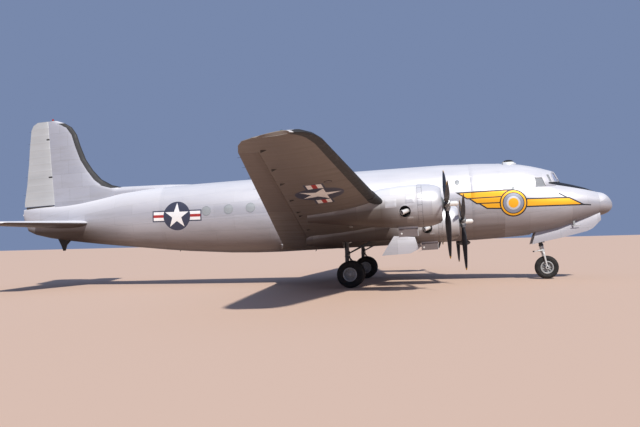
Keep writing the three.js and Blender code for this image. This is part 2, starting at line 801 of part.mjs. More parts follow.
const noseWell = box(at(WELL.back, -WELL.half, -BIG), at(WELL.front, WELL.half, WELL.top));
const noseShape = join(bodySolid(NOSE_CAP_END, COCKPIT_END - FIT), canopyShape(0, ROUND));
const openings = [noseWell, channel, ...screenPanes].map(solidOf).concat(sidePanes);
const glazed = openings.reduce((left, tool) => left.subtract(tool), solidOf(noseShape));
piece("nose_section", geometryOf(glazed), SILVER);
piece("nose_cap", bodySolid(0, NOSE_CAP_END - FIT), SILVER);
const domeBall = ball(at(ASTRODOME.station, 0, ASTRODOME.height), ASTRODOME.radius, ASTRODOME.squash);
piece("astrodome", cut(domeBall, noseCore(-FIT)), GLASS);

// Cabin
piece("cabin_forward", bodyTube(COCKPIT_END, CENTRE_START - FIT), SILVER);
piece("cabin_center", cut(bodyTube(CENTRE_START, CENTRE_END - FIT), wingHole, bellyBox(FIT)), SILVER);
const spaceRows = bodyRows(COCKPIT_END + FIT, CABIN_END - FIT).reverse();
const cabinSpace = loft(spaceRows.map((row) => ovalRing(row, WALL + FIT)));
const floorSlab = box(
  at(CABIN_END - FIT, -BIG, FLOOR_TOP - FLOOR_THICK),
  at(COCKPIT_END + FIT, BIG, FLOOR_TOP),
);
piece("cabin_floor", cut(common(cabinSpace, floorSlab), wingHole), CABIN_GREEN);

// The cargo door's two leaves, each hinged at its outer upright edge, and their doorway
const doorMiddle = (DOOR.front + DOOR.back) / 2;
const doorway = box(at(DOOR.back, 0, DOOR.low), at(DOOR.front, BIG, DOOR.high));
const LEAVES = [
  { name: "front", hinge: DOOR.front, way: 1 },
  { name: "rear", hinge: DOOR.back, way: -1 },
];
const doorAxis = (hinge, z = 0) => at(hinge, bodyRow(hinge)[3] + DOOR.proud, z);
const inOrder = (one, other) => [Math.min(one, other), Math.max(one, other)];
// A hinge barrel between two heights, with the strap that joins it to the skin on one side of the hinge line.
function barrel(hinge, toward, low, high) {
  const [front, back] = inOrder(hinge + toward, hinge + toward * DOOR.strap);
  const y = doorAxis(hinge).y;
  return join(
    rod(doorAxis(hinge, low), doorAxis(hinge, high), DOOR.barrel, DOOR.sides),
    box(at(back, y - DOOR.strap, low), at(front, y, high)),
  );
}
const frameBarrels = LEAVES.flatMap(({ hinge, way }) => [
  barrel(hinge, -way, DOOR.knuckle + FIT, DOOR.knuckle * 2),
  barrel(hinge, -way, -DOOR.knuckle * 2, -DOOR.knuckle - FIT),
]);
const aftTube = bodyTube(CENTRE_END, CABIN_END - FIT);
piece("cabin_aft", join(cut(aftTube, doorway), ...frameBarrels), SILVER);
for (const { name, hinge, way } of LEAVES) {
  const [front, back] = inOrder(hinge + way * DOOR.edge, doorMiddle);
  const reach = Math.abs(doorMiddle - hinge) - DOOR.edge / 2;
  const sweep = rod(doorAxis(hinge, DOOR.low * 2), doorAxis(hinge, DOOR.high * 2), reach, DOOR.sweepSides);
  const opening = box(at(back, 0, DOOR.low + DOOR.edge), at(front, BIG, DOOR.high - DOOR.edge));
  const leaf = join(common(common(aftTube, opening), sweep), barrel(hinge, way, -DOOR.knuckle, DOOR.knuckle));
  turning(`cargo_door_${name}`, leaf, SILVER, doorAxis(hinge, DOOR.low), vec(0, 0, -way));
}

// Fin and rudder
function finSection(height) {
  const i = Math.max(1, FIN.findIndex((row) => row[0] >= height));
  const t = (height - FIN[i - 1][0]) / (FIN[i][0] - FIN[i - 1][0]);
  const [, leading, trailing, thick] = FIN[i].map((value, column) => mix(FIN[i - 1][column], value, t));
  return {
    leading: at(leading, 0, height),
    chord: trailing - leading,
    ratio: thick / (trailing - leading),
    camber: 0,
    set: 0,
    up: ACROSS,
  };
}
function rudderHinge(height) {
  const section = finSection(height);
  const t = (height - RUDDER_HINGE.lowHeight) / (RUDDER_HINGE.highHeight - RUDDER_HINGE.lowHeight);
  const station = mix(RUDDER_HINGE.low, RUDDER_HINGE.high, t);
  return (section.leading.x - (MAIN_STATION - station)) / section.chord;
}
const finHeights = FIN.map((row) => row[0]);
const finTop = finHeights.at(-1);
const rudderHeights = [RUDDER_BOTTOM, ...finHeights.filter((height) => height > RUDDER_BOTTOM)];
const coveHeights = [RUDDER_BOTTOM - OVERRUN, ...rudderHeights, finTop + OVERRUN / 3];
const [rudderLow, rudderHigh] = [RUDDER_BOTTOM, finTop].map((height) =>
  hingePoint(finSection(height), rudderHinge(height)),
);
const rudderPin = pinEnds(rudderLow, rudderHigh);
const rudderBore = bore(...rudderPin, HINGE_PIN);
const tailHole = bodySolid(CENTRE_END, LENGTH, -FIT);
const dorsal = loft(DORSAL.map((row) => ovalRing(row, 0, 0, DORSAL_SIDES)));
const finWhole = join(loft(finHeights.map((height) => foilRing(finSection(height)))), dorsal);
const rudderCove = loft(coveHeights.map((height) => coveRing(finSection(height), rudderHinge(height))));
piece("fin", cut(finWhole, rudderCove, tailHole, rudderBore), SILVER);
const rudder = loft(rudderHeights.map((height) => controlRing(finSection(height), rudderHinge(height))));
const rudderAxis = rudderHigh.clone().sub(rudderLow);
turning("rudder", join(rudder, pin(...rudderPin, HINGE_PIN)), SILVER, rudderLow, rudderAxis);
const tailShell = cut(bodySolid(CABIN_END, LENGTH), bodySolid(CABIN_END - WALL, TAIL_HOLLOW_END, WALL));
piece("tail_section", cut(tailShell, rudderBore), SILVER);
const bumperFace = (y) => BUMPER.map(([station, z]) => at(station, y, z));
const bumper = loft([bumperFace(-BUMPER_THICK / 2), bumperFace(BUMPER_THICK / 2)]);
piece("tail_bumper", cut(bumper, tailHole), BLACK_PAINT);

// Tailplane and elevators
function tailSection(y, side, share = 1) {
  const t = y / TAILPLANE.tipY;
  const leading = TAILPLANE.leadingStation + TAILPLANE.leadingSlope * y;
  const full = TAILPLANE.trailingStation + TAILPLANE.trailingSlope * y - leading;
  return {
    leading: at(leading + full * (1 - share) * 0.5, side * y, TAILPLANE.height),
    chord: full * share,
    ratio: mix(TAILPLANE.rootRatio, TAILPLANE.tipRatio, t) * mix(TAILPLANE.tipThinner, 1, share),
    camber: 0,
    set: 0,
    up: UPWARD,
  };
}
for (const { name, way } of SIDES) {
  const sectionAt = (y) => tailSection(y, way);
  const tip = TAIL_TIP.map(([y, share]) => foilRing(tailSection(y, way, share)));
  const straight = [TAILPLANE.innerY, TAILPLANE.outerY].map((y) => foilRing(sectionAt(y)));
  const elevator = surface(sectionAt, TAILPLANE.hinge, ELEVATOR_INNER, ELEVATOR_OUTER);
  const places = [ELEVATOR_INNER, ELEVATOR_OUTER];
  const cove = coveAround(sectionAt, TAILPLANE.hinge, places, elevator, elevator);
  const ends = pinEnds(elevator.from, elevator.to);
  const panel = cut(loft([...straight, ...tip]), cove, tailHole, bore(...ends, HINGE_PIN));
  piece(`tailplane_${name}`, panel, SILVER);
  const axis = elevator.out.clone().multiplyScalar(way);
  turning(`elevator_${name}`, join(elevator.body, pin(...ends, HINGE_PIN)), SILVER, elevator.from, axis);
}

// Engines, cowls, propellers and nacelles
const lipSet = (aft) => (aft < LIP_END ? LIP_SET : 0);
const cowlInside = COWL_OUTSIDE.slice(1)
  .reverse()
  .map(([aft, radius]) => [aft + lipSet(aft), radius - COWL_WALL]);
const cowlProfile = [...COWL_OUTSIDE, ...cowlInside];
// places across and through a blade, as shares of its chord and thickness
const BLADE_OUTLINE = [
  [0.5, 0],
  [0.25, 0.48],
  [-0.2, 0.45],
  [-0.5, 0],
  [-0.2, -0.45],
  [0.25, -0.45],
];
function bladeRing([radius, chord, thick, pitch], hub, angle) {
  const turn = degrees(pitch);
  const tangent = vec(0, -Math.cos(angle), Math.sin(angle));
  const outward = vec(0, -Math.sin(angle), -Math.cos(angle));
  return BLADE_OUTLINE.map(([across, deep]) => {
    const forward = across * chord * Math.sin(turn) + deep * thick * Math.cos(turn);
    const round = across * chord * Math.cos(turn) - deep * thick * Math.sin(turn);
    const root = hub.clone().addScaledVector(outward, radius);
    return root.addScaledVector(FORWARD, forward).addScaledVector(tangent, round);
  });
}
function nacelleShape(engine, grow) {
  const rows = engine.outer ? OUTER_NACELLE : INNER_NACELLE;
  const ring = ([aft, top, bottom, half]) => {
    const row = [engine.plane + aft, engine.height + top, engine.height + bottom, half];
    return ovalRing(row, -grow, engine.y, COWL_SIDES);
  };
  return loft(rows.map(ring));
}
// The exhaust port on the outboard side and the oil cooler's outlet below, both part of the nacelle.
function nacelle(engine) {
  const out = Math.sign(engine.y);
  const spot = (aft, y, z) => at(engine.plane + aft, engine.y + out * y, engine.height + z);
  const portFloor = COWL_RADIUS - PORT.depth;
  const portAt = (y) => spot(PORT.aft, y, -PORT.drop);
  const port = rod(portAt(portFloor), portAt(PORT.reach), PORT.radius, PORT.sides);
  const pipeAt = ([aft, past, up], y) => spot(PORT.aft + aft, y + past, up - PORT.drop);
  const pipe = rod(pipeAt(PIPE.from, portFloor), pipeAt(PIPE.to, COWL_RADIUS), PIPE.radius, PIPE.sides);
  const coolerBox = (back, front, half, low, high) =>
    box(spot(back, -out * half, low), spot(front, out * half, high));
  const duct = coolerBox(COOLER.back, COOLER.front, COOLER.half, COOLER.low, 0);
  const mouth = coolerBox(
    COOLER.back + RUN,
    COOLER.back - COOLER.mouth,
    COOLER.half - COOLER.wall,
    COOLER.low + COOLER.wall,
    COOLER.low + COOLER.opening,
  );
  const bay = box(
    at(BAY.back, engine.y - BAY.half, -BIG),
    at(BAY.front, engine.y + BAY.half, BAY.top),
  );
  const flapRows = [FLAP_INNER, WING_SPLIT].map((y) => coveRing(wingSection(y, out), WING.hinge, FLAP_SWEEP));
  const shell = cut(join(nacelleShape(engine, 0), duct), port, mouth, wingHole, loft(flapRows));
  const whole = join(shell, pipe);
  return engine.outer ? whole : cut(whole, bay);
}
const cowlAxis = FORWARD.clone().negate();
for (const engine of ENGINES) {
  const hub = at(engine.plane, engine.y, engine.height);
  const on = (aft) => hub.clone().addScaledVector(FORWARD, -aft);
  piece(`cowl_${engine.name}`, turned(cowlProfile, hub, cowlAxis, COWL_SIDES), SILVER);
  const block = ([from, to, radius, end, sides]) => rod(on(from), on(to), radius, sides, end);
  const shaft = [on(SHAFT.back), on(SHAFT.front)];
  piece(`engine_${engine.name}`, cut(join(...ENGINE_RODS.map(block)), bore(...shaft, SHAFT_RADIUS)), STEEL);
  const turns = [0, 120, 240].map((turn) => degrees(engine.blade + turn));
  const blades = turns.map((angle) => loft(BLADE.map((row) => bladeRing(row, hub, angle))));
  const hubRods = HUB_RODS.map(([from, to, radius]) => rod(on(from), on(to), radius, HUB_SIDES));
  const dome = ball(on(DOME.place), DOME.radius, DOME.squash);
  const propeller = join(...hubRods, dome, pin(...shaft, SHAFT_RADIUS), ...blades);
  turning(`propeller_${engine.name}`, propeller, BLACK_PAINT, hub, FORWARD);
  piece(`nacelle_${engine.name}`, nacelle(engine), SILVER);
}

// Wheels: profiles across the wheel as places along the axle and radii, with a flat side on the ground
const FLAT_DOWN = NOSE_UP + Math.PI / WHEEL_SIDES;
const TO_CORNER = 1 / Math.cos(Math.PI / WHEEL_SIDES);
function hubAt(centre) {
  const profile = [
    [-RIM_HALF, HUB_BORE],
    [-RIM_HALF, RIM_RADIUS],
    [RIM_HALF, RIM_RADIUS],
    [RIM_HALF, HUB_BORE],
  ];
  return turned(profile, centre, ACROSS, WHEEL_SIDES, FLAT_DOWN);
}
function tyreAt(centre, radius) {
  const half = [
    [TYRE_WIDTH / 2 - TYRE_BEAD, RIM_RADIUS + FIT],
    [TYRE_WIDTH / 2, RIM_RADIUS + TYRE_WALL],
    [TYRE_WIDTH / 2 - TYRE_SHOULDER.set, radius - TYRE_SHOULDER.drop],
    [TYRE_WIDTH / 2 - TYRE_TREAD, radius * TO_CORNER],
  ];
  const profile = [...half.map(([along, out]) => [-along, out]), ...half.reverse()];
  return turned(profile, centre, ACROSS, WHEEL_SIDES, FLAT_DOWN);
}

// Main gear
for (const { name, way } of SIDES) {
  const middle = parked(0, way * TRACK_HALF, TYRE_RADIUS);
  const wheelAt = (out) => middle.clone().addScaledVector(ACROSS, way * out);
  const on = (ahead, height, out = 0) => parked(ahead, way * TRACK_HALF + out, height);
  const axleReach = TWIN + RIM_HALF + AXLE_PAST;
  const axleEnds = [wheelAt(-axleReach), wheelAt(axleReach)];
  const hubs = [-TWIN, TWIN].map((out) => hubAt(wheelAt(out)));
  turning(`main_wheels_${name}`, join(pin(...axleEnds, AXLE_RADIUS), ...hubs), STEEL, middle, ACROSS);
  for (const [label, out] of [["inner", -TWIN], ["outer", TWIN]]) {
    piece(`main_tyre_${label}_${name}`, tyreAt(wheelAt(out), TYRE_RADIUS), TYRE_RUBBER);
  }
  const foot = on(LEG.aft, LEG.foot);
  const elbow = on(...LINK_ELBOW);
  const trunnion = (out) => on(LEG.aft, LEG.top, out);
  const braceEnd = ([ahead, height, out], hand) => on(ahead, height, hand * out);
  const brace = (hand) =>
    rod(braceEnd(LEG_BRACE.from, hand), braceEnd(LEG_BRACE.to, hand), LEG_BRACE.radius, THIN_SIDES);
  const leg = join(
    rod(foot, trunnion(0), LEG_RADIUS, LEG.sides),
    rod(middle, foot, LEG_RADIUS, LEG.crossSides),
    rod(wheelAt(-LEG.sleeve), wheelAt(LEG.sleeve), LEG.sleeveRadius, LEG.sides),
    rod(trunnion(FIT - BAY.half), trunnion(BAY.half - FIT), LEG.trunnion, LEG.crossSides),
    brace(-1),
    brace(1),
    ...LINKS.map(([ahead, height, radius, end]) => rod(on(ahead, height), elbow, radius, THIN_SIDES, end)),
  );
  piece(`main_leg_${name}`, cut(leg, bore(...axleEnds, AXLE_RADIUS)), STEEL);
}

// Nose gear: the fork turns about an axis that leans aft
const noseHub = parked(MAIN_STATION - NOSE_WHEEL_STATION, 0, NOSE_TYRE_RADIUS);
const steerAxis = vec(-Math.sin(NOSE_RAKE), 0, Math.cos(NOSE_RAKE)).applyAxisAngle(ACROSS, NOSE_UP);
const alongSteer = (up, out = 0, aft = 0) =>
  noseHub.clone().addScaledVector(steerAxis, up).add(vec(-aft, out, 0));
const noseAxleEnds = [-1, 1].map((way) => alongSteer(0, way * NOSE_AXLE_REACH));
turning("nose_wheel", join(pin(...noseAxleEnds, NOSE_AXLE_RADIUS), hubAt(noseHub)), STEEL, noseHub, ACROSS);
piece("nose_tyre", tyreAt(noseHub, NOSE_TYRE_RADIUS), TYRE_RUBBER);
const yokeTop = alongSteer(SHOULDER + YOKE.rise);
const arms = [-1, 1].map((way) => {
  const onArm = (up, past = 0) => alongSteer(up, way * (NOSE_ARM + past));
  return join(
    rod(onArm(0), onArm(SHOULDER), ARM.foot, ARM.sides, ARM.shoulder),
    rod(onArm(0, -ARM.bossHalf), onArm(0, ARM.bossHalf), ARM.boss, ARM.bossSides),
    rod(onArm(SHOULDER - YOKE.drop, YOKE.spread), yokeTop, YOKE.radius, ARM.sides, YOKE.end),
  );
});
const crown = rod(alongSteer(SHOULDER + CROWN.start), alongSteer(FORK_TOP), CROWN.radius, CROWN.sides);
const towEnds = [alongSteer(SHOULDER + TOW_ARM.from), alongSteer(SHOULDER + TOW_ARM.to, 0, TOW_ARM.aft)];
const towArm = rod(...towEnds, TOW_ARM.radius, ARM.sides);
const forkBore = bore(...noseAxleEnds, NOSE_AXLE_RADIUS);
const swivel = [alongSteer(FORK_TOP - SWIVEL.below), alongSteer(FORK_TOP + SWIVEL.above)];
const fork = cut(join(crown, towArm, pin(...swivel, SWIVEL.radius), ...arms), forkBore);
turning("nose_fork", fork, STEEL, alongSteer(FORK_TOP), steerAxis);
const strutTop = alongSteer(FORK_TOP + STRUT.reach);
const crossEnds = [FIT - WELL.half, WELL.half - FIT].map((y) => strutTop.clone().setY(y));
const braceTop = strutTop.clone().add(vec(DRAG_BRACE.ahead, 0, DRAG_BRACE.rise));
const strut = join(
  rod(alongSteer(FORK_TOP + RUN), strutTop, STRUT.radius, STRUT.sides),
  rod(...crossEnds, STRUT.cross, STRUT.crossSides),
  rod(alongSteer(FORK_TOP + DRAG_BRACE.start), braceTop, DRAG_BRACE.radius, DRAG_BRACE.sides),
);
piece("nose_leg", cut(strut, bore(...swivel, SWIVEL.radius)), STEEL);

// Landing gear doors: curved plates through rows of [top station, top height, low station, low height]
function gearDoor(rows, y, out, bulge) {
  const ring = ([topStation, topHeight, lowStation, lowHeight]) => {
    const edge = (face) =>
      GEAR_DOOR_STEPS.map((t) => {
        const bow = bulge * Math.sin(Math.PI * t * GEAR_DOOR_WAVE);
        const side = y + out * (bow + (face * GEAR_DOOR_THICK) / 2);
        return at(mix(topStation, lowStation, t), side, mix(topHeight, lowHeight, t));
      });
    return [...edge(1), ...edge(-1).reverse()];
  };
  return loft(rows.map(ring));
}
const noseHole = bodySolid(0, COCKPIT_END, -FIT);
for (const { name, way } of SIDES) {
  const engine = ENGINES.find((one) => one.y === way * TRACK_HALF);
  const around = nacelleShape(engine, FIT);
  for (const [label, out] of [["outer", 1], ["inner", -1]]) {
    const y = way * (TRACK_HALF + out * (BAY.half + MAIN_DOOR_PLACE.past));
    const plate = cut(gearDoor(MAIN_DOOR, y, way * out, MAIN_DOOR_PLACE.bow), around);
    piece(`main_gear_door_${label}_${name}`, plate, SILVER);
  }
  const noseDoor = gearDoor(NOSE_DOOR, way * (WELL.half + NOSE_DOOR_PLACE.past), way, NOSE_DOOR_PLACE.bow);
  const plate = cut(noseDoor, noseHole);
  piece(`nose_gear_door_${name}`, plate, SILVER);
}

plane.updateMatrixWorld(true);
const bounds = new THREE.Box3().setFromObject(plane, true);
plane.position.x = -(bounds.min.x + bounds.max.x) / 2;

export default plane;
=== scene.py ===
"""A four-engined propeller transport plane, parked on its tricycle gear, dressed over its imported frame."""

import json
import math

import bmesh
import bpy
from mathutils import Matrix, Vector
from mathutils.bvhtree import BVHTree


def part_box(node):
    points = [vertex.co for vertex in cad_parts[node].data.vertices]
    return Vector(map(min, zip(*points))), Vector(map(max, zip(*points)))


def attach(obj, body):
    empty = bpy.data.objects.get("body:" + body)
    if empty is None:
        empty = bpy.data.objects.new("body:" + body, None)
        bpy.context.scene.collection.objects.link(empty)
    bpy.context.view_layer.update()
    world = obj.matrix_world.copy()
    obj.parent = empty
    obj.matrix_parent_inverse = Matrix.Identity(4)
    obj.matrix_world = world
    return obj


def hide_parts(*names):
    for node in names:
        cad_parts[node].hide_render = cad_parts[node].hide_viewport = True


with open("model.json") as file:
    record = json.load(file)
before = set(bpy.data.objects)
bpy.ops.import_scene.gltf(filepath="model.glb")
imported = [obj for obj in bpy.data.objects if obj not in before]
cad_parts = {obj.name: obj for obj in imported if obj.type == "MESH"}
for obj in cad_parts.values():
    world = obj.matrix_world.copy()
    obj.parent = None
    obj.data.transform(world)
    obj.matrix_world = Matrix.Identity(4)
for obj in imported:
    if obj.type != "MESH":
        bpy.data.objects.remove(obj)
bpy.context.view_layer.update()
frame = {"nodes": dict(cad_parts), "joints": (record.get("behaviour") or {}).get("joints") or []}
nodes = frame["nodes"]
joints = {joint["name"]: joint for joint in frame["joints"]}

# Places on the airframe, in metres: a station aft of the nose tip, out to the left, up from the centre line
MAIN_STATION = 11.539
CENTRE_LINE_HEIGHT = 3.483
NOSE_UP = math.radians(2.294)
MAIN_X = joints["main_wheels_left_roll"]["pos_m"][0]
AIRFRAME = Matrix.Translation((MAIN_X, 0, CENTRE_LINE_HEIGHT)) @ Matrix.Rotation(-NOSE_UP, 4, "Y")
FORWARD = AIRFRAME.to_3x3() @ Vector((1, 0, 0))
AFT = -FORWARD
UP = AIRFRAME.to_3x3() @ Vector((0, 0, 1))
UPRIGHT = Vector((0, 0, 1))
OUT = Vector((0, 1, 0))
SIDES = {"left": 1, "right": -1}
CORNERS = ((-1, -1), (1, -1), (1, 1), (-1, 1))


def at(station, out, up):
    return AIRFRAME @ Vector((MAIN_STATION - station, out, up))


# The camera stands where the photograph was taken from
CAMERA_PLACE = (6.16, -35.469, 2.019)
CAMERA_YAW, CAMERA_PITCH, CAMERA_ROLL = (math.radians(angle) for angle in (8.393, 2.067, 1.469))
CAMERA_LENS, CAMERA_SENSOR = 42.03, 36


def make_camera():
    camera = bpy.data.objects.new("camera", bpy.data.cameras.new("camera"))
    camera.data.lens = CAMERA_LENS
    camera.data.sensor_width = CAMERA_SENSOR
    camera.data.clip_end = 1000
    turn = Matrix.Rotation(CAMERA_YAW, 4, "Z") @ Matrix.Rotation(CAMERA_PITCH, 4, "X")
    turn = turn @ Matrix.Rotation(CAMERA_ROLL, 4, "Y") @ Matrix.Rotation(math.pi / 2, 4, "X")
    camera.matrix_world = Matrix.Translation(CAMERA_PLACE) @ turn
    bpy.context.scene.collection.objects.link(camera)
    bpy.context.scene.camera = camera


# Colours and nodes
def linear(code):
    """The linear colour of an sRGB hex value."""
    channels = [int(code[i : i + 2], 16) / 255 for i in (1, 3, 5)]
    return tuple(c / 12.92 if c <= 0.04045 else ((c + 0.055) / 1.055) ** 2.4 for c in channels) + (1.0,)


MATH, MIX, VECTOR, RANGE = "ShaderNodeMath", "ShaderNodeMix", "ShaderNodeVectorMath", "ShaderNodeMapRange"
NOISE, BRICK, BUMP, WAVE = "ShaderNodeTexNoise", "ShaderNodeTexBrick", "ShaderNodeBump", "ShaderNodeTexWave"
COMBINE, SEPARATE, COORDINATES = "ShaderNodeCombineXYZ", "ShaderNodeSeparateXYZ", "ShaderNodeTexCoord"
GEOMETRY, MAPPING = "ShaderNodeNewGeometry", "ShaderNodeMapping"
# Places of a colour mix's inputs
FACTOR, UNDER, OVER = 0, 6, 7


def source(value):
    """A node's first output in use, or the value itself."""
    if isinstance(value, bpy.types.Node):
        return next(socket for socket in value.outputs if socket.enabled)
    return value


def add(tree, kind, inputs=None, **settings):
    """A node with its settings and links: inputs go by name or number, each a value, a node or a socket."""
    node = tree.nodes.new(kind)
    for name, value in settings.items():
        setattr(node, name, value)
    for key, value in (inputs or {}).items():
        value = source(value)
        if isinstance(value, bpy.types.NodeSocket):
            tree.links.new(value, node.inputs[key])
        else:
            node.inputs[key].default_value = value
    return node


def material(name, colour, roughness, metallic=0.0, **sockets):
    """A material with its shader's plain values set; returns it and its tree."""
    made = bpy.data.materials.new(name)
    made.use_nodes = True
    made.diffuse_color = linear(colour)
    shader = made.node_tree.nodes["Principled BSDF"]
    shader.inputs["Base Color"].default_value = linear(colour)
    values = {"Roughness": roughness, "Metallic": metallic, **sockets}
    for socket, value in values.items():
        shader.inputs[socket].default_value = value
    return made, made.node_tree


def finished(made, colour=None, roughness=None, height=None, distance=0.002, strength=0.5):
    """Links a material's patterns to its shader."""
    tree = made.node_tree
    links = {"Base Color": colour, "Roughness": roughness}
    if height is not None:
        links["Normal"] = add(tree, BUMP, {"Height": height, "Distance": distance, "Strength": strength})
    for name, value in links.items():
        if value is not None:
            tree.links.new(source(value), tree.nodes["Principled BSDF"].inputs[name])
    return made


def stations(tree):
    """Where a point of the surface lies on the airframe in metres: the place, its station, out and up."""
    leant = Matrix.Rotation(NOSE_UP, 3, "Y") @ Vector((MAIN_X, 0, CENTRE_LINE_HEIGHT))
    shift = (MAIN_STATION + leant.x, 0, -leant.z)
    spot = {"Vector": add(tree, COORDINATES).outputs["Object"], "Location": shift}
    place = add(tree, MAPPING, {**spot, "Rotation": (0, -NOSE_UP, 0), "Scale": (-1, 1, 1)})
    return place, *add(tree, SEPARATE, {0: place}).outputs


def facing_up(tree):
    """How far a surface faces up, from -1 to 1."""
    return add(tree, SEPARATE, {0: add(tree, GEOMETRY).outputs["Normal"]}).outputs[2]


# Markings in paint, as masks over places in a plane
def inside(tree, place, outline):
    """How far inside a convex outline of (x, z) points a place is, in metres; it is negative outside."""
    sides = list(zip(outline, outline[1:] + outline[:1]))
    turn = sum(a[0] * b[1] - b[0] * a[1] for a, b in sides)
    depth = None
    for a, b in sides:
        along = Vector((b[0] - a[0], b[1] - a[1])).normalized() * math.copysign(1, turn)
        reach = -along.y * a[0] + along.x * a[1]
        inward = (-along.y, 0, along.x)
        dot = add(tree, VECTOR, {0: place, 1: inward}, operation="DOT_PRODUCT").outputs["Value"]
        edge = add(tree, MATH, {0: dot, 1: reach}, operation="SUBTRACT")
        depth = edge if depth is None else add(tree, MATH, {0: depth, 1: edge}, operation="MINIMUM")
    return depth


def layered(tree, under, layers):
    """Colours one over another; each covers what is less than a margin outside its depth."""
    for depth, margin, code in layers:
        mask = add(tree, MATH, {0: depth, 1: -margin}, operation="GREATER_THAN")
        under = add(tree, MIX, {FACTOR: mask, UNDER: under, OVER: linear(code)}, data_type="RGBA")
    return under


def faded(tree, under, code, value, start, full, most):
    """A colour with another over it, from none where a value is at its start to the most where it is full."""
    depth = add(tree, RANGE, {"Value": value, "From Min": start, "From Max": full, "To Max": most})
    return add(tree, MIX, {FACTOR: depth, UNDER: under, OVER: linear(code)}, data_type="RGBA")


def disc(tree, place, centre, radius):
    """How far inside a disc a place is, in metres."""
    flat = add(tree, VECTOR, {0: place, 1: (1, 0, 1)}, operation="MULTIPLY")
    apart = add(tree, VECTOR, {0: flat, 1: (centre[0], 0, centre[1])}, operation="DISTANCE").outputs["Value"]
    return add(tree, MATH, {0: radius, 1: apart}, operation="SUBTRACT")


INSIGNIA_BLUE, INSIGNIA_WHITE, INSIGNIA_RED = "#414558", "#f4f3f2", "#b03a38"
# shares of the disc's radius: the blue rim, half a bar's height, and half the red stripe's share of that
INSIGNIA_RIM, INSIGNIA_BAR, INSIGNIA_STRIPE = 0.09, 0.38, 0.28
# A star is where at least four of the five lines through its points have the place on their inner side
STAR_INNER = math.cos(math.radians(72))
STAR_COUNT = 3.5


def insignia(tree, under, place, centre, radius, lean=0.0, way=1, long=2.0):
    """A star in a disc, with a striped bar on each side: colours over what is under them."""
    step = Vector((math.cos(lean), math.sin(lean)))
    rise = Vector((-step.y, step.x)) * way
    rim, tall = radius * INSIGNIA_RIM, radius * INSIGNIA_BAR
    inner = radius * long - rim * 0.5

    def bar(half_length, half_height):
        spots = [Vector(centre) + step * half_length * x + rise * half_height * z for x, z in CORNERS]
        return inside(tree, place, [tuple(spot) for spot in spots])

    count = None
    for point in range(5):
        angle = math.pi * (0.5 + 0.4 * point)
        toward = step * math.cos(angle) + rise * math.sin(angle)
        outward = (toward.x, 0, toward.y)
        dot = add(tree, VECTOR, {0: place, 1: outward}, operation="DOT_PRODUCT").outputs["Value"]
        limit = toward.dot(Vector(centre)) + radius * STAR_INNER
        side = add(tree, MATH, {0: dot, 1: limit}, operation="LESS_THAN")
        count = side if count is None else add(tree, MATH, {0: count, 1: side}, operation="ADD")
    star = add(tree, MATH, {0: count, 1: STAR_COUNT}, operation="SUBTRACT")
    layers = [
        (bar(radius * long, tall), rim * 0.5, INSIGNIA_BLUE),
        (bar(inner, tall - rim * 0.5), 0, INSIGNIA_WHITE),
        (bar(inner, tall * INSIGNIA_STRIPE), 0, INSIGNIA_RED),
        (disc(tree, place, centre, radius), rim, INSIGNIA_BLUE),
        (star, 0, INSIGNIA_WHITE),
    ]
    return layered(tree, under, layers)


BAND, BAND_EDGE, DISC_FIELD, DISC_RING, DULL_BLACK = "#efae24", "#2c2d33", "#8a8f9e", "#c3c6cd", "#2b2c30"
# station, height: the tips of the winged band's feathers, its inner end, the band ahead of it and its whisker
WING_TIPS = ((6.89, 0.304), (6.4, 0.03), (5.98, -0.22), (5.55, -0.46))
WING_TOP, WING_BOTTOM = (4.45, 0.285), (4.45, -0.545)
NARROW_BAND = [(3.906, -0.165), (2.042, -0.226), (1.427, -0.568), (3.93, -0.496)]
WHISKER = ((2.457, -0.004), (2.137, -0.202), (1.427, -0.568), (1.072, -0.606))
BAND_DISC = (4.49, -0.3)
# radius, colour of the ringed disc on the winged band
DISC_RINGS = (
    (0.605, BAND_EDGE), (0.55, BAND), (0.475, BAND_EDGE),
    (0.44, DISC_FIELD), (0.3, DISC_RING), (0.22, BAND),
)
# how far the band's dark edge reaches out and in, and half the width of a painted line
EDGE_OUTSIDE, EDGE_INSIDE, LINE_HALF = 0.036, 0.024, 0.026
# station, height: the sloping lower edge of the dull panel ahead of the windscreen, and below the panes
ANTI_GLARE_AFT, ANTI_GLARE_FORE = (2.826, 0.483), (0.975, 0.055)
ANTI_GLARE_ENDS = (0.75, 2.3)
UNDER_SCREEN = [(1.9, 0.27), (2.84, 0.475), (2.84, 0.535), (2.3, 0.56), (1.9, 0.56)]
BODY_STAR, BODY_STAR_LEAN, BODY_STAR_RADIUS = (20.09, 0.223), math.radians(2.25), 0.63
WING_STAR, WING_STAR_RADIUS = (11.46, 11.685), 0.74
# A brown for painted shade: on the nacelles under the wing, below the tail cone and under the tailplane
PAINTED_SHADE_BROWN = "#43362f"


def feathers():
    """The winged band's three feathers, each an outline of stations and heights."""
    rows = []
    for step, (high, low) in enumerate(zip(WING_TIPS[:3], WING_TIPS[1:])):
        shares = [step / 3, (step + 1) / 3]
        inner = [tuple(a + (b - a) * share for a, b in zip(WING_TOP, WING_BOTTOM)) for share in shares]
        rows.append([high, *inner, (low[0] + 0.1, low[1])])
    return rows


def stroke(start, end):
    """The outline of a straight line of paint."""
    along = (Vector(end) - Vector(start)).normalized()
    side = Vector((-along.y, along.x)) * LINE_HALF
    corners = ((start, 1), (end, 1), (end, -1), (start, -1))
    return [tuple(Vector(spot) + side * hand) for spot, hand in corners]


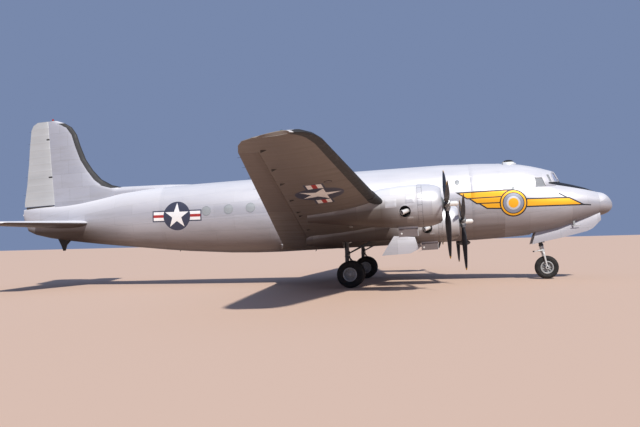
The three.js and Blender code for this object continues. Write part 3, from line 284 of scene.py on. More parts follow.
def nose_markings(tree, colour):
    """The winged band and the ringed disc on it."""
    place = stations(tree)[0]
    depths = [inside(tree, place, outline) for outline in [*feathers(), NARROW_BAND]]
    layers = [(depth, EDGE_OUTSIDE, BAND_EDGE) for depth in depths]
    layers += [(inside(tree, place, stroke(a, b)), 0, BAND_EDGE) for a, b in zip(WHISKER, WHISKER[1:])]
    layers += [(depth, -EDGE_INSIDE, BAND) for depth in depths]
    layers += [(disc(tree, place, BAND_DISC, radius), 0, code) for radius, code in DISC_RINGS]
    return layered(tree, colour, layers)


def nose_top_markings(tree, colour):
    """The winged band, and the dull black panel ahead of the windscreen."""
    place, station, _, up = stations(tree)
    (aft, high), (fore, low) = ANTI_GLARE_AFT, ANTI_GLARE_FORE
    slope = (high - low) / (aft - fore)
    edge = add(tree, MATH, {0: station, 1: slope, 2: low - slope * fore}, operation="MULTIPLY_ADD")
    mask = add(tree, MATH, {0: up, 1: edge}, operation="GREATER_THAN")
    for end, side in zip(ANTI_GLARE_ENDS, ("GREATER_THAN", "LESS_THAN")):
        within = add(tree, MATH, {0: station, 1: end}, operation=side)
        mask = add(tree, MATH, {0: mask, 1: within}, operation="MULTIPLY")
    beneath = inside(tree, place, UNDER_SCREEN)
    return layered(tree, nose_markings(tree, colour), [(mask, -0.5, DULL_BLACK), (beneath, 0, DULL_BLACK)])


def aft_markings(tree, colour):
    place = stations(tree)[0]
    return insignia(tree, colour, place, BODY_STAR, BODY_STAR_RADIUS, lean=BODY_STAR_LEAN, long=1.95)


def painted_shade_over(tree, colour, *ramps):
    """Painted shade in brown over a colour, as deep as its ramps say together: each a value, its start and its
    end.
    """
    depth = 0.9
    for value, start, full in ramps:
        ramp = add(tree, RANGE, {"Value": value, "From Min": start, "From Max": full})
        depth = add(tree, MATH, {0: ramp, 1: depth}, operation="MULTIPLY")
    return add(tree, MIX, {FACTOR: depth, UNDER: colour, OVER: linear(PAINTED_SHADE_BROWN)}, data_type="RGBA")


def nacelle_painted_shade(tree, colour):
    """Painted shade where the wing's shadow falls: aft of the wing's leading edge, over the nacelle's sides
    and underside.
    """
    return painted_shade_over(tree, colour, (stations(tree)[1], 8.5, 9.9), (facing_up(tree), 0.4, -0.1))


def tail_markings_and_shade(tree, colour):
    """The insignia's aft end, with painted shade below the tail cone, where the tailplane's shadow falls."""
    colour = aft_markings(tree, colour)
    return painted_shade_over(tree, colour, (stations(tree)[1], 22.5, 25.2), (facing_up(tree), 0.05, -0.3))


def wing_markings(tree, colour):
    """The insignia below the right wing and above the left one."""
    _, station, out, _ = stations(tree)
    plan = add(tree, COMBINE, {0: out, 2: station})
    plain = colour
    for side, sign in (("right", "LESS_THAN"), ("left", "GREATER_THAN")):
        centre = (SIDES[side] * WING_STAR[0], WING_STAR[1])
        marked = insignia(tree, plain, plan, centre, WING_STAR_RADIUS, way=-1, long=1.8)
        faces = add(tree, MATH, {0: facing_up(tree), 1: 0.0}, operation=sign)
        here = add(tree, MATH, {0: out, 1: 0.0}, operation=sign)
        mask = add(tree, MATH, {0: faces, 1: here}, operation="MULTIPLY")
        colour = add(tree, MIX, {FACTOR: mask, UNDER: colour, OVER: marked}, data_type="RGBA")
    return colour


# Finishes
SILVER, SILVER_SHADE, SEAM = "#b4b4bc", "#aaaab2", "#8b8d8e"
# The pale top colour is painted sunlight and the brown one is painted shade underneath; grime and scuffs are
# the paint's own
GRIME, PAINTED_SUNLIGHT, PAINTED_UNDERSIDE_SHADE, SCUFFED = "#6f6a62", "#eeeef2", "#5c4c43", "#77736c"
# The usual sheet's length and height; body sheets are laid out by the angle round the body times its radius
CABIN_SHEET = (2.6, 0.62)
BODY_RADIUS = 1.6


def painted_sun_and_shade(tree, colour, soiled=0.72, oil=PAINTED_UNDERSIDE_SHADE):
    """Painted light on lacquer: lighter on top as painted sunlight, browner underneath as painted shade."""
    facing = facing_up(tree)
    colour = faded(tree, colour, PAINTED_SUNLIGHT, facing, 0.15, 0.85, 0.8)
    return faded(tree, colour, oil, facing, -0.1, -0.75, soiled)


def laid_out(tree, layout, station, out, up):
    """A place on a surface unrolled flat: round the body, along a wing, or from the side."""
    if layout == "wing":
        return add(tree, COMBINE, {0: out, 1: station})
    if layout == "flat":
        return add(tree, COMBINE, {0: station, 1: up})
    angle = add(tree, MATH, {0: up, 1: out}, operation="ARCTAN2")
    around = add(tree, MATH, {0: angle, 1: BODY_RADIUS}, operation="MULTIPLY")
    return add(tree, COMBINE, {0: station, 1: around})


def sheet_metal(
    name, layout="round", panel=CABIN_SHEET, marked=None,
    tone=SILVER, shade=SILVER_SHADE, rough=0.47, shine=0.4, **painted_shading,
):
    """Sheet aluminium under silver lacquer: soft broad highlights, each sheet a little off the next in tone,
    thin dark joints between sheets, streaks of grime along the airflow and slight waves between the frames."""
    made, tree = material(name, tone, rough, shine)
    place, station, out, up = stations(tree)
    flat = laid_out(tree, layout, station, out, up)
    # Joints are 3 mm wide on the real one, and 9 mm here so that they show
    sheets = {"Vector": flat, "Scale": 1.0, "Mortar Size": 0.0045, "Mortar Smooth": 0.4, "Bias": 0.0}
    sheets |= {"Brick Width": panel[0], "Row Height": panel[1]}
    sheets |= {"Color1": linear(tone), "Color2": linear(shade), "Mortar": linear(SEAM)}
    bricks = add(tree, BRICK, sheets, offset=0.37)
    # Streaks are some 200 mm apart and 1.5 m long
    streaked = add(tree, MAPPING, {"Vector": place, "Scale": (0.35, 2.2, 2.2)})
    grime = add(tree, NOISE, {"Vector": streaked, "Scale": 1.6, "Detail": 5.0, "Roughness": 0.6}).outputs[0]
    colour = faded(tree, bricks.outputs[0], GRIME, grime, 0.48, 0.85, 0.3)
    # Painted sunlight on top and painted shade underneath
    colour = painted_sun_and_shade(tree, colour, **painted_shading)
    if marked:
        colour = marked(tree, colour)
    uneven = {"Value": grime, "From Min": 0.3, "From Max": 0.7, "To Min": rough - 0.06, "To Max": rough + 0.1}
    # Skins bow 3 mm between frames 500 mm apart
    wavy = add(tree, NOISE, {"Vector": flat, "Scale": 1.5, "Detail": 1.0})
    seams = add(tree, MATH, {0: bricks.outputs[1], 1: -0.35}, operation="MULTIPLY")
    height = add(tree, MATH, {0: wavy.outputs[0], 1: seams}, operation="ADD")
    return finished(made, colour, add(tree, RANGE, uneven), height, distance=0.006, strength=0.35)


RIB_SPACING = 0.36
WORN_DOPE = "#8f9192"


def doped_fabric(name, across, tone, soiled):
    """Doped cotton over ribs, under silver dope: duller than the metal, with a faint ridge at each rib."""
    made, tree = material(name, tone, 0.5, 0.25)
    place = stations(tree)[0]
    mapped = add(tree, MAPPING, {"Vector": place, "Scale": (0.15, 1, 1)})
    blot = add(tree, NOISE, {"Vector": mapped, "Scale": 2.0, "Detail": 4.0}).outputs[0]
    colour = faded(tree, linear(tone), WORN_DOPE, blot, 0.4, 0.8, 0.35)
    # A wave's bands lie 2 pi / 20 of its scale apart
    rib_scale = math.pi / 10 / RIB_SPACING
    ribs = add(tree, WAVE, {"Vector": place, "Scale": rib_scale}, bands_direction=across, wave_profile="SIN")
    ridges = add(tree, MATH, {0: ribs.outputs[1], 1: 8.0}, operation="POWER")
    # Painted sunlight on top and painted shade underneath, as on the metal
    return finished(made, painted_sun_and_shade(tree, colour, soiled), None, ridges, distance=0.006, strength=0.6)


def plain_paint(name, colour, roughness, metallic, worn, scale, spread=0.35):
    """Brushed or sprayed paint: an even colour with faint blotches, and scuffs of what lies under it."""
    made, tree = material(name, colour, roughness, metallic)
    place = add(tree, COORDINATES).outputs["Object"]
    blot = add(tree, NOISE, {"Vector": place, "Scale": scale, "Detail": 6.0, "Roughness": 0.62}).outputs[0]
    tint = faded(tree, linear(colour), worn, blot, 0.5, 0.8, spread)
    dull = {"Value": blot, "From Min": 0.3, "From Max": 0.75}
    dull |= {"To Min": roughness * 0.85, "To Max": min(1, roughness * 1.25)}
    return finished(made, tint, add(tree, RANGE, dull), blot, distance=0.0008, strength=0.3)


TYRE_BLACK, TYRE_DUST = "#151516", "#3a3532"


def tyre_rubber():
    """Moulded rubber weathered to a dark grey, dusty in patches, with fine moulding grain."""
    made, tree = material("moulded_tyre_rubber", "#1f1f20", 0.82)
    place = add(tree, COORDINATES).outputs["Object"]
    dust = add(tree, NOISE, {"Vector": place, "Scale": 9.0, "Detail": 6.0}).outputs[0]
    colour = faded(tree, linear(TYRE_BLACK), TYRE_DUST, dust, 0.42, 0.75, 0.55)
    grain = add(tree, NOISE, {"Vector": place, "Scale": 160.0, "Detail": 2.0})
    return finished(made, colour, None, grain.outputs[0], distance=0.0008, strength=0.4)


# The windscreen's panes lie ahead of this station
SCREEN_AFT = 2.62


def glazing(name, tint, roughness, screen=None):
    """Perspex: a sharp sky reflection over a dim tint, with faint crazing; the windscreen has its own tint."""
    made, tree = material(name, tint, roughness, IOR=1.49)
    place = add(tree, COORDINATES).outputs["Object"]
    haze = add(tree, NOISE, {"Vector": place, "Scale": 14.0, "Detail": 5.0}).outputs[0]
    dull = {"Value": haze, "From Min": 0.35, "From Max": 0.8, "To Min": roughness, "To Max": roughness + 0.12}
    colour = None
    if screen:
        ahead = add(tree, MATH, {0: stations(tree)[1], 1: SCREEN_AFT}, operation="LESS_THAN")
        colour = add(tree, MIX, {FACTOR: ahead, UNDER: linear(tint), OVER: linear(screen)}, data_type="RGBA")
    return finished(made, colour, add(tree, RANGE, dull), haze, distance=0.0006, strength=0.2)


# Lacquered sheets, by the part that they cover; panel is a sheet's length and height in metres
SHEETS = {
    "nose": dict(panel=(1.9, 0.84), marked=nose_top_markings, soiled=0.5),
    "nose_cap": dict(panel=(3.0, 2.0), tone="#dedee3", rough=0.5),
    "cabin": dict(marked=nose_markings),
    "body": dict(),
    "aft_cabin": dict(marked=aft_markings),
    "tail_cone": dict(marked=tail_markings_and_shade, shine=0.25),
    "nacelle": dict(layout="flat", panel=(0.9, 0.8), marked=nacelle_painted_shade, tone="#d0d1d3", shine=0.15),
    "gear_doors": dict(layout="flat", panel=(1.2, 0.8), tone="#bdbdc5", rough=0.44, soiled=0.4),
    "wing": dict(
        layout="wing", panel=(1.6, 0.8), marked=wing_markings, tone="#a09d99", shade="#959390", shine=0.25,
    ),
    # The tailplane is deep brown underneath: painted shade
    "tailplane": dict(layout="wing", panel=(1.6, 0.8), tone="#a9a8aa", shine=0.25, soiled=0.95, oil=PAINTED_SHADE_BROWN),
    "fin": dict(layout="flat", panel=(1.1, 0.7), tone="#b0b2bc", shade="#a6a8b2"),
    "cowl": dict(layout="flat", panel=(0.9, 0.8), tone="#d0d1d3", rough=0.44),
}
# name, colour, roughness, metal, colour of the scuffs, scale of the blotches, how much they cover if not 0.35
PAINTS = {
    # Enamel on forged and cast metal: a soft shine that breaks up where dirt sits
    "steel": ("silver_enamelled_steel", "#9a9c9d", 0.42, 0.5, "#5b5751", 6.0),
    "grey": ("grey_cast_aluminium", "#7d8083", 0.5, 0.6, "#4b4a48", 12.0),
    "grey_engine_case": ("grey_enamelled_case", "#6c7175", 0.42, 0.1, "#37342f", 12.0),
    "leg_paint": ("grey_enamelled_forging", "#4e5053", 0.42, 0.35, "#38332e", 9.0, 0.6),
    "gear_white": ("white_enamelled_forging", "#c9cbcc", 0.38, 0.2, "#6d655b", 9.0, 0.5),
    "wheel_paint": ("silver_painted_casting", "#a9abac", 0.45, 0.4, "#5a544c", 10.0, 0.5),
    "cooler_paint": ("soiled_grey_enamel", "#6c6262", 0.5, 0.2, "#4a403a", 8.0),
    "bracket_paint": ("soiled_hinge_fairing", "#3a3533", 0.6, 0.2, "#242120", 6.0),
    # Silver lacquer brushed on small fittings: bright and even, with little shine
    "pane_frame": ("lacquered_window_frame", "#dcdddf", 0.42, 0.3, SCUFFED, 6.0),
    "cover": ("lacquered_cover_plate", "#979ca0", 0.55, 0.3, "#84878a", 9.0),
    "dome_white": ("silver_lacquered_dome", "#e4e4e2", 0.3, 0.25, "#a5a19a", 6.0),
    # Bare metal: machined, chromed and polished faces with tight highlights, and dull oily cast fins
    "hub_steel": ("machined_steel", "#8d8f92", 0.32, 0.85, "#4d4a46", 18.0),
    "dark_steel": ("oiled_dark_steel", "#3c3e41", 0.4, 0.7, "#242220", 14.0),
    "chrome": ("hard_chromed_piston", "#c8ccd0", 0.12, 1.0, "#9a9c9e", 6.0),
    "bright_steel": ("polished_stainless_steel", "#e6e5e4", 0.3, 0.35, "#b0a394", 10.0),
    "cast_engine": ("cast_aluminium_fins", "#4f5255", 0.55, 0.6, "#2b2927", 14.0),
    # Matt paint and primer: hardly a highlight, chalked or scuffed in patches
    "black": ("matt_black_blade_paint", "#1d1e20", 0.5, 0.0, "#4a4a4a", 6.0, 0.5),
    "blade_black": ("matt_black_blade_paint_worn", "#1c1e26", 0.5, 0.0, "#43454f", 6.0, 0.4),
    "tip_yellow": ("yellow_tip_paint", "#d9a62c", 0.5, 0.0, "#7c6a3c", 6.0),
    "green": ("interior_green_primer", "#6d7a5e", 0.65, 0.0, SCUFFED, 6.0),
    "bay_paint": ("primed_door_ribs", "#8d9189", 0.55, 0.1, "#4f4a44", 6.0),
    # Painted shade, near black in openings and hollows; then rubber and sealant, dull and dark, greyer where
    # they have chalked
    "dark_inside": ("sooty_inside", "#191817", 0.8, 0.0, "#2c2925", 6.0),
    "black_rubber": ("rubber_hose", "#202021", 0.7, 0.0, "#3a3835", 6.0),
    "rubber_sleeve": ("deicing_rubber", "#27282b", 0.62, 0.0, "#4b4a49", 5.0),
    "dark_edge": ("weathered_sealant", "#5c5c60", 0.7, 0.0, SCUFFED, 6.0),
}
# name, tint, roughness, and the windscreen's tint
PANES = {
    "pane": ("acrylic_sheet_painted_over", "#878b90", 0.25, "#9aa3bd"),
    "dome": ("acrylic_dome", "#d9dedf", 0.12),
    "lamp_glass": ("moulded_lamp_glass", "#e3e6e8", 0.08),
    "lamp_red": ("red_lamp_glass", "#8e1f1a", 0.1),
    "lamp_green": ("green_lamp_glass", "#14402d", 0.1),
}
# name, way across the ribs, tone, depth of the painted shade underneath
FABRICS = {
    "fabric_rudder": ("doped_fabric_rudder", "Z", "#b4b6b8", 0.72),
    "fabric_wing": ("doped_fabric_surfaces", "Y", "#a5a4a3", 0.85),
}
FINISHES = {}


def mix_finishes():
    for name, look in SHEETS.items():
        FINISHES[name] = sheet_metal(f"lacquered_aluminium_{name}", **look)
    for looks, mixed in ((PAINTS, plain_paint), (PANES, glazing), (FABRICS, doped_fabric)):
        for name, look in looks.items():
            FINISHES[name] = mixed(*look)
    FINISHES["tyre"] = tyre_rubber()


# The frame's nodes and what each is finished in
def both(*names):
    return [f"{name}_{side}" for name in names for side in SIDES]


def four(*names):
    return [f"{name}_{row}_{side}" for name in names for row in ("outer", "inner") for side in SIDES]


DRESSED = {
    "nose": ["nose_section"],
    "nose_cap": ["nose_cap"],
    "cabin": ["cabin_forward"],
    "body": ["cabin_center"],
    "aft_cabin": ["cabin_aft", "cargo_door_front", "cargo_door_rear"],
    "tail_cone": ["tail_section"],
    "wing": ["wing_center_section", *both("wing_outer", "flap")],
    "tailplane": both("tailplane"),
    "fin": ["fin"],
    "cowl": four("cowl"),
    "nacelle": four("nacelle"),
    "gear_doors": both("main_gear_door_outer", "main_gear_door_inner", "nose_gear_door"),
    "fabric_rudder": ["rudder"],
    "fabric_wing": both("aileron", "elevator"),
    "steel": [*both("main_leg", "main_wheels"), "nose_leg", "nose_fork", "nose_wheel"],
    "tyre": [*both("main_tyre_inner", "main_tyre_outer"), "nose_tyre"],
    "grey": four("engine"),
    "black": [*four("propeller"), "tail_bumper"],
    "pane": ["cockpit_windows"],
    "dome": ["astrodome"],
    "green": ["cabin_floor"],
}
SMOOTH_ANGLE = math.radians(32)


def smoothing():
    """Smooth shading of the frame's faceted nodes, split at their real edges."""
    group = bpy.data.node_groups.new("smooth_between_edges", "GeometryNodeTree")
    for way in ("INPUT", "OUTPUT"):
        group.interface.new_socket("Geometry", in_out=way, socket_type="NodeSocketGeometry")
    start = add(group, "NodeGroupInput")
    plain = add(group, "GeometryNodeRemoveAttribute", {"Geometry": start, "Name": "custom_normal"})
    welded = add(group, "GeometryNodeMergeByDistance", {"Geometry": plain, "Distance": 0.0002})
    angle = add(group, "GeometryNodeInputMeshEdgeAngle").outputs[0]
    limits = {0: angle, 1: SMOOTH_ANGLE}
    gentle = add(group, "FunctionNodeCompare", limits, data_type="FLOAT", operation="LESS_THAN")
    shaded = welded
    for smooth, domain in ((True, "FACE"), (gentle, "EDGE")):
        ways = {"Geometry": shaded, "Shade Smooth": smooth}
        shaded = add(group, "GeometryNodeSetShadeSmooth", ways, domain=domain)
    add(group, "NodeGroupOutput", {0: shaded})
    return group


def dress_nodes():
    group = smoothing()
    for finish, names in DRESSED.items():
        for name in names:
            nodes[name].material_slots[0].material = FINISHES[finish]
            nodes[name].modifiers.new("smooth_between_edges", "NODES").node_group = group


# Shapes for the pieces, gathered part by part with a finish each
class Shape:
    def __init__(self):
        self.points, self.faces, self.looks, self.finishes = [], [], [], []

    def add(self, solid, finish):
        points, faces = solid
        if finish not in self.finishes:
            self.finishes.append(finish)
        first = len(self.points)
        self.points += [Vector(point) for point in points]
        self.faces += [[index + first for index in face] for face in faces]
        self.looks += [self.finishes.index(finish)] * len(faces)
        return self

    def turn(self, profile, centre, axis, sides, finish, loop=False):
        return self.add(turned(profile, centre, axis, sides, loop), finish)

    def bar(self, path, radii, sides, finish):
        return self.add(tube(path, radii, sides), finish)

    def boss(self, centre, radius, half, finish):
        """A round boss with bevelled edges, across both sides of a centre."""
        rows = ((-half, 0.0), (-half, radius - BOSS_EDGE), (BOSS_EDGE - half, radius))
        return self.turn([*rows, *[(-along, out) for along, out in rows[::-1]]], centre, OUT, 24, finish)


BOSS_EDGE = 0.006


def lofted(rings, loop=False, capped=True):
    """Points and faces through rings of equal count."""
    count = len(rings[0])
    faces = []
    for row in range(len(rings) if loop else len(rings) - 1):
        a, b = row * count, (row + 1) % len(rings) * count
        for i in range(count):
            j = (i + 1) % count
            faces.append((a + i, a + j, b + j, b + i))
    if capped and not loop:
        faces += [list(range(count))[::-1], [i + (len(rings) - 1) * count for i in range(count)]]
    return [point for ring in rings for point in ring], faces


def cross_axes(axis):
    """Two directions square to an axis."""
    axis = Vector(axis).normalized()
    side = axis.cross(UPRIGHT if abs(axis.z) < 0.9 else OUT).normalized()
    return side, side.cross(axis)


def turns(count):
    """Even turns round a circle, in radians."""
    return [2 * math.pi * k / count for k in range(count)]


def oval(centre, across, up, count):
    """Points round an oval with two half axes."""
    return [centre + across * math.cos(turn) + up * math.sin(turn) for turn in turns(count)]


def turned(profile, centre, axis, sides, loop=False):
    """A profile of (along, radius) turned about an axis; it closes at its ends on the axis, or on itself."""
    axis = Vector(axis).normalized()
    side, up = cross_axes(axis)
    rings = [oval(centre + axis * along, side * radius, up * radius, sides) for along, radius in profile]
    return lofted(rings, loop=loop, capped=not loop)


def pin(start, end, radius):
    """The profile of a plain pin or plate along its axis."""
    return ((start, 0.0), (start, radius), (end, radius), (end, 0.0))


def domed(foot, rise, radius, steps, first, last):
    """A dome's profile from its foot toward the axis, as steps of a quarter turn."""
    bends = [math.pi / 2 * k / steps for k in range(first, last)]
    return [(foot + rise * math.sin(bend), radius * math.cos(bend)) for bend in bends]


def tube(path, radii, sides):
    """A round bar along a path, with a radius for each point or one for all."""
    path = [Vector(point) for point in path]
    radii = radii if isinstance(radii, (list, tuple)) else [radii] * len(path)
    rings = []
    side, _ = cross_axes(path[1] - path[0])
    for i, (point, radius) in enumerate(zip(path, radii)):
        axis = (path[min(i + 1, len(path) - 1)] - path[max(i - 1, 0)]).normalized()
        side = (side - axis * side.dot(axis)).normalized()
        rings.append(oval(point, side * radius, axis.cross(side) * radius, sides))
    return lofted(rings)


def eased(before, start, end, after, t):
    """A place between start and end on the curve through four places."""
    bend = 2 * before - 5 * start + 4 * end - after
    turn = 3 * start - before - 3 * end + after
    return start + ((end - before) * t + bend * t * t + turn * t * t * t) / 2


def curved(points, steps):
    """A smooth path through a few points."""
    ends = [points[0] * 2 - points[1], *points, points[-1] * 2 - points[-2]]
    spans = zip(ends, ends[1:], ends[2:], ends[3:])
    return [*(eased(*span, step / steps) for span in spans for step in range(steps)), points[-1]]


def slab(outline, thick):
    """A plate from an outline of points, with a thickness as a vector."""
    return lofted([outline, [point + thick for point in outline]])


def block(centre, along, across, up):
    """A small box by its centre and three half sizes as vectors."""
    return slab([centre + along * a + across * b - up for a, b in CORNERS], up * 2)


def make(name, shape, body="airframe", angle=35, bevel=0.0, replaces=()):
    """The piece of a shape: welded, facing outward, smooth between its real edges, riding on a body."""
    mesh = bpy.data.meshes.new(name)
    mesh.from_pydata([tuple(point) for point in shape.points], [], shape.faces)
    for finish in shape.finishes:
        mesh.materials.append(FINISHES[finish])
    mesh.polygons.foreach_set("material_index", shape.looks)
    work = bmesh.new()
    work.from_mesh(mesh)
    bmesh.ops.remove_doubles(work, verts=work.verts, dist=1e-5)
    bmesh.ops.dissolve_degenerate(work, dist=1e-6, edges=work.edges)
    bmesh.ops.recalc_face_normals(work, faces=work.faces)
    for edge in work.edges:
        edge.smooth = len(edge.link_faces) == 2 and edge.calc_face_angle(0) < math.radians(angle)
    for face in work.faces:
        face.smooth = True
    work.to_mesh(mesh)
    work.free()
    made = bpy.data.objects.new(name, mesh)
    bpy.context.scene.collection.objects.link(made)
    if bevel:
        rounded_edges = made.modifiers.new("rounded_edges", "BEVEL")
        rounded_edges.width, rounded_edges.segments = bevel, 2
        rounded_edges.limit_method, rounded_edges.angle_limit = "ANGLE", math.radians(angle)
        rounded_edges.harden_normals = True
    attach(made, body)
    if replaces:
        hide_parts(*replaces)


# Engines: where each propeller's hub is, out, aft of the nose and up, and its first blade's angle in degrees
ENGINES = {
    "outer_left": {"out": 8.176, "plane": 7.559, "up": -0.422, "blade": 38.0},
    "inner_left": {"out": 3.765, "plane": 6.842, "up": -1.017, "blade": -17.0},
    "inner_right": {"out": -3.765, "plane": 6.842, "up": -1.017, "blade": 2.0},
    "outer_right": {"out": -8.176, "plane": 7.559, "up": -0.422, "blade": -11.0},
}
# radius, chord, thickness, pitch in degrees: a broad paddle blade on a round shank
BLADE = (
    (0.1, 0.15, 0.15, 60), (0.24, 0.145, 0.14, 58), (0.36, 0.165, 0.115, 54), (0.5, 0.235, 0.088, 48),
    (0.66, 0.295, 0.068, 43), (0.9, 0.335, 0.05, 36), (1.1, 0.342, 0.043, 31), (1.3, 0.335, 0.036, 27),
    (1.5, 0.315, 0.03, 24.5), (1.7, 0.285, 0.024, 22), (1.85, 0.245, 0.019, 20), (1.93, 0.2, 0.016, 19),
    (1.985, 0.145, 0.012, 18.5), (2.015, 0.09, 0.009, 18), (2.028, 0.03, 0.005, 18),
)
BLADE_SIDES = 20
SHANK_CHORD = 0.17
TIP_PAINT_FROM = 1.9
# along, radius: a blade's socket with its clamp rings, the barrel and the foot of the hub's dome
SOCKET = (
    (0.06, 0.0), (0.06, 0.128), (0.15, 0.128), (0.16, 0.115),
    (0.19, 0.115), (0.2, 0.102), (0.245, 0.098), (0.25, 0.0),
)
BARREL = (
    (-0.1, 0.0), (-0.1, 0.13), (-0.075, 0.152), (0.045, 0.152), (0.075, 0.135), (0.08, 0.1), (0.08, 0.0),
)
DOME_FOOT = ((0.08, 0.0), (0.08, 0.104), (0.11, 0.104), (0.115, 0.092), (0.3, 0.092))


def hub_of(engine):
    return at(engine["plane"], engine["out"], engine["up"])


def blade_ring(row, hub, tangent, outward):
    """A blade's section: flat aft, full ahead, and thickest a third of the way back."""
    radius, chord, thick, pitch = row
    pitch = math.radians(pitch)
    shank = chord < SHANK_CHORD
    points = []
    for turn in turns(BLADE_SIDES):
        across = 0.5 * math.cos(turn)
        fullness = 0.5 if shank else (0.62 if math.sin(turn) > 0 else 0.38)
        deep = fullness * math.sin(turn) * (1 if shank else 1 + 0.35 * math.cos(turn))
        ahead = across * chord * math.sin(pitch) + deep * thick * math.cos(pitch)
        aside = across * chord * math.cos(pitch) - deep * thick * math.sin(pitch)
        points.append(hub + FORWARD * ahead + tangent * aside + outward * radius)
    return points


def make_propeller(name, engine):
    hub = hub_of(engine)
    shape = Shape()
    for third in (0, 120, 240):
        angle = math.radians(engine["blade"] + third)
        tangent = -OUT * math.cos(angle) + UP * math.sin(angle)
        outward = -OUT * math.sin(angle) - UP * math.cos(angle)
        rows = [blade_ring(row, hub, tangent, outward) for row in BLADE]
        tip = next(i for i, row in enumerate(BLADE) if row[0] > TIP_PAINT_FROM)
        shape.add(lofted(rows[: tip + 1]), "blade_black")
        shape.add(lofted(rows[tip:]), "tip_yellow")
        shape.turn(SOCKET, hub, outward, 28, "hub_steel")
        for way in (-1, 1):
            bolt = hub + outward * 0.11 + outward.cross(FORWARD) * way * 0.118
            shape.turn(pin(-0.05, 0.05, 0.016), bolt, FORWARD, 8, "hub_steel")
    shape.turn(BARREL, hub, FORWARD, 32, "hub_steel")
    shape.turn(pin(-0.24, -0.09, 0.064), hub, FORWARD, 20, "hub_steel")
    shape.turn([*DOME_FOOT, *domed(0.3, 0.125, 0.092, 8, 1, 9)], hub, FORWARD, 36, "dome_white")
    node = f"propeller_{name}"
    make(f"three_blade_propeller_{name}", shape, node, replaces=[node], angle=40)


COWL_SIDES = 72
COWL_FLAPS = 20
FLAP_THICK = 0.016
# share of a flap's pitch that it fills
FLAP_WIDTH = 0.955
# aft of the propeller's plane, radius: the nose ring rolled outward round its lip
COWL_RING = (
    (0.262, 0.64), (0.225, 0.6), (0.198, 0.572), (0.19, 0.566), (0.186, 0.574), (0.192, 0.59),
    (0.215, 0.618), (0.262, 0.653), (0.33, 0.686), (0.42, 0.716), (0.54, 0.744), (0.66, 0.762),
    (0.76, 0.771), (0.868, 0.775), (0.868, 0.757), (0.54, 0.722), (0.33, 0.668),
)
# the strap where the ring joins the panels, the flaps' rows, and the ring of painted shade within them
COWL_STRAP = ((0.556, 0.742), (0.556, 0.753), (0.592, 0.759), (0.592, 0.748))
FLAP_ROWS = ((0.876, 0.777), (0.96, 0.781), (1.034, 0.779))
COWL_INSIDE = ((0.8, 0.735), (0.8, 0.755), (1.038, 0.755), (1.038, 0.735))


def make_cowl(name, engine):
    hub = hub_of(engine)
    shape = Shape()
    for profile in (COWL_RING, COWL_STRAP):
        shape.turn(profile, hub, AFT, COWL_SIDES, "cowl", loop=True)
    side, up = cross_axes(AFT)
    half = math.pi / COWL_FLAPS * FLAP_WIDTH
    for middle in turns(COWL_FLAPS):
        bends = [middle + math.pi / COWL_FLAPS + half * step / 3 for step in range(-3, 4)]
        ways = [side * math.cos(bend) + up * math.sin(bend) for bend in bends]
        rings = []
        for along, radius in FLAP_ROWS:
            outer = [hub + AFT * along + way * radius for way in ways]
            inner = [hub + AFT * along + way * (radius - FLAP_THICK) for way in ways]
            rings.append([*outer, *inner[::-1]])
        shape.add(lofted(rings), "cowl")
    shape.turn(COWL_INSIDE, hub, AFT, COWL_SIDES, "dark_inside", loop=True)
    make(f"engine_cowl_{name}", shape, replaces=[f"cowl_{name}"], angle=30)


CYLINDERS = 7
# aft of the propeller's plane: the front and rear rows of cylinders
CYLINDER_ROWS = (0.335, 0.455)
# first fin, pitch, count, radius at root and edge, how much less each next one has, its edge's and root's ends
FINS = (
    (0.34, 0.018, 7, 0.07, 0.092, 0.0, 0.007, 0.01),
    (0.475, 0.02, 6, 0.08, 0.112, 0.006, 0.008, 0.011),
)
CRANKCASE = (
    (0.1, 0.0), (0.1, 0.1), (0.118, 0.155), (0.135, 0.215), (0.175, 0.275), (0.215, 0.305), (0.225, 0.325),
    (0.245, 0.325), (0.25, 0.305), (0.3, 0.335), (0.52, 0.355), (0.52, 0.0),
)
# aft, out from the shaft, to one side: the push rods' ends, their rocker box and the plug lead's points
ROD_FOOT, ROD_HEAD, ROCKER = (0.235, 0.285, 0.045), (0.275, 0.565, 0.075), (0.285, 0.575, 0.075)
PLUG_LEAD = ((0.2, 0.3, 0), (0.19, 0.38, 0), (0.27, 0.5, 0))
HARNESS_AFT, HARNESS_RADIUS, HARNESS_THICK = 0.205, 0.318, 0.014


def cylinder_profile():
    """A finned barrel and head along a cylinder, out from the crankcase."""
    profile = [(0.3, 0.0), (0.3, 0.07)]
    for first, pitch, count, root, edge, less, edge_end, root_end in FINS:
        for fin in range(count):
            low, high = first + fin * pitch, edge - less * fin
            profile += [(low, root), (low + 0.003, high), (low + edge_end, high), (low + root_end, root)]
    return [*profile, (0.6, 0.066), (0.612, 0.0)]


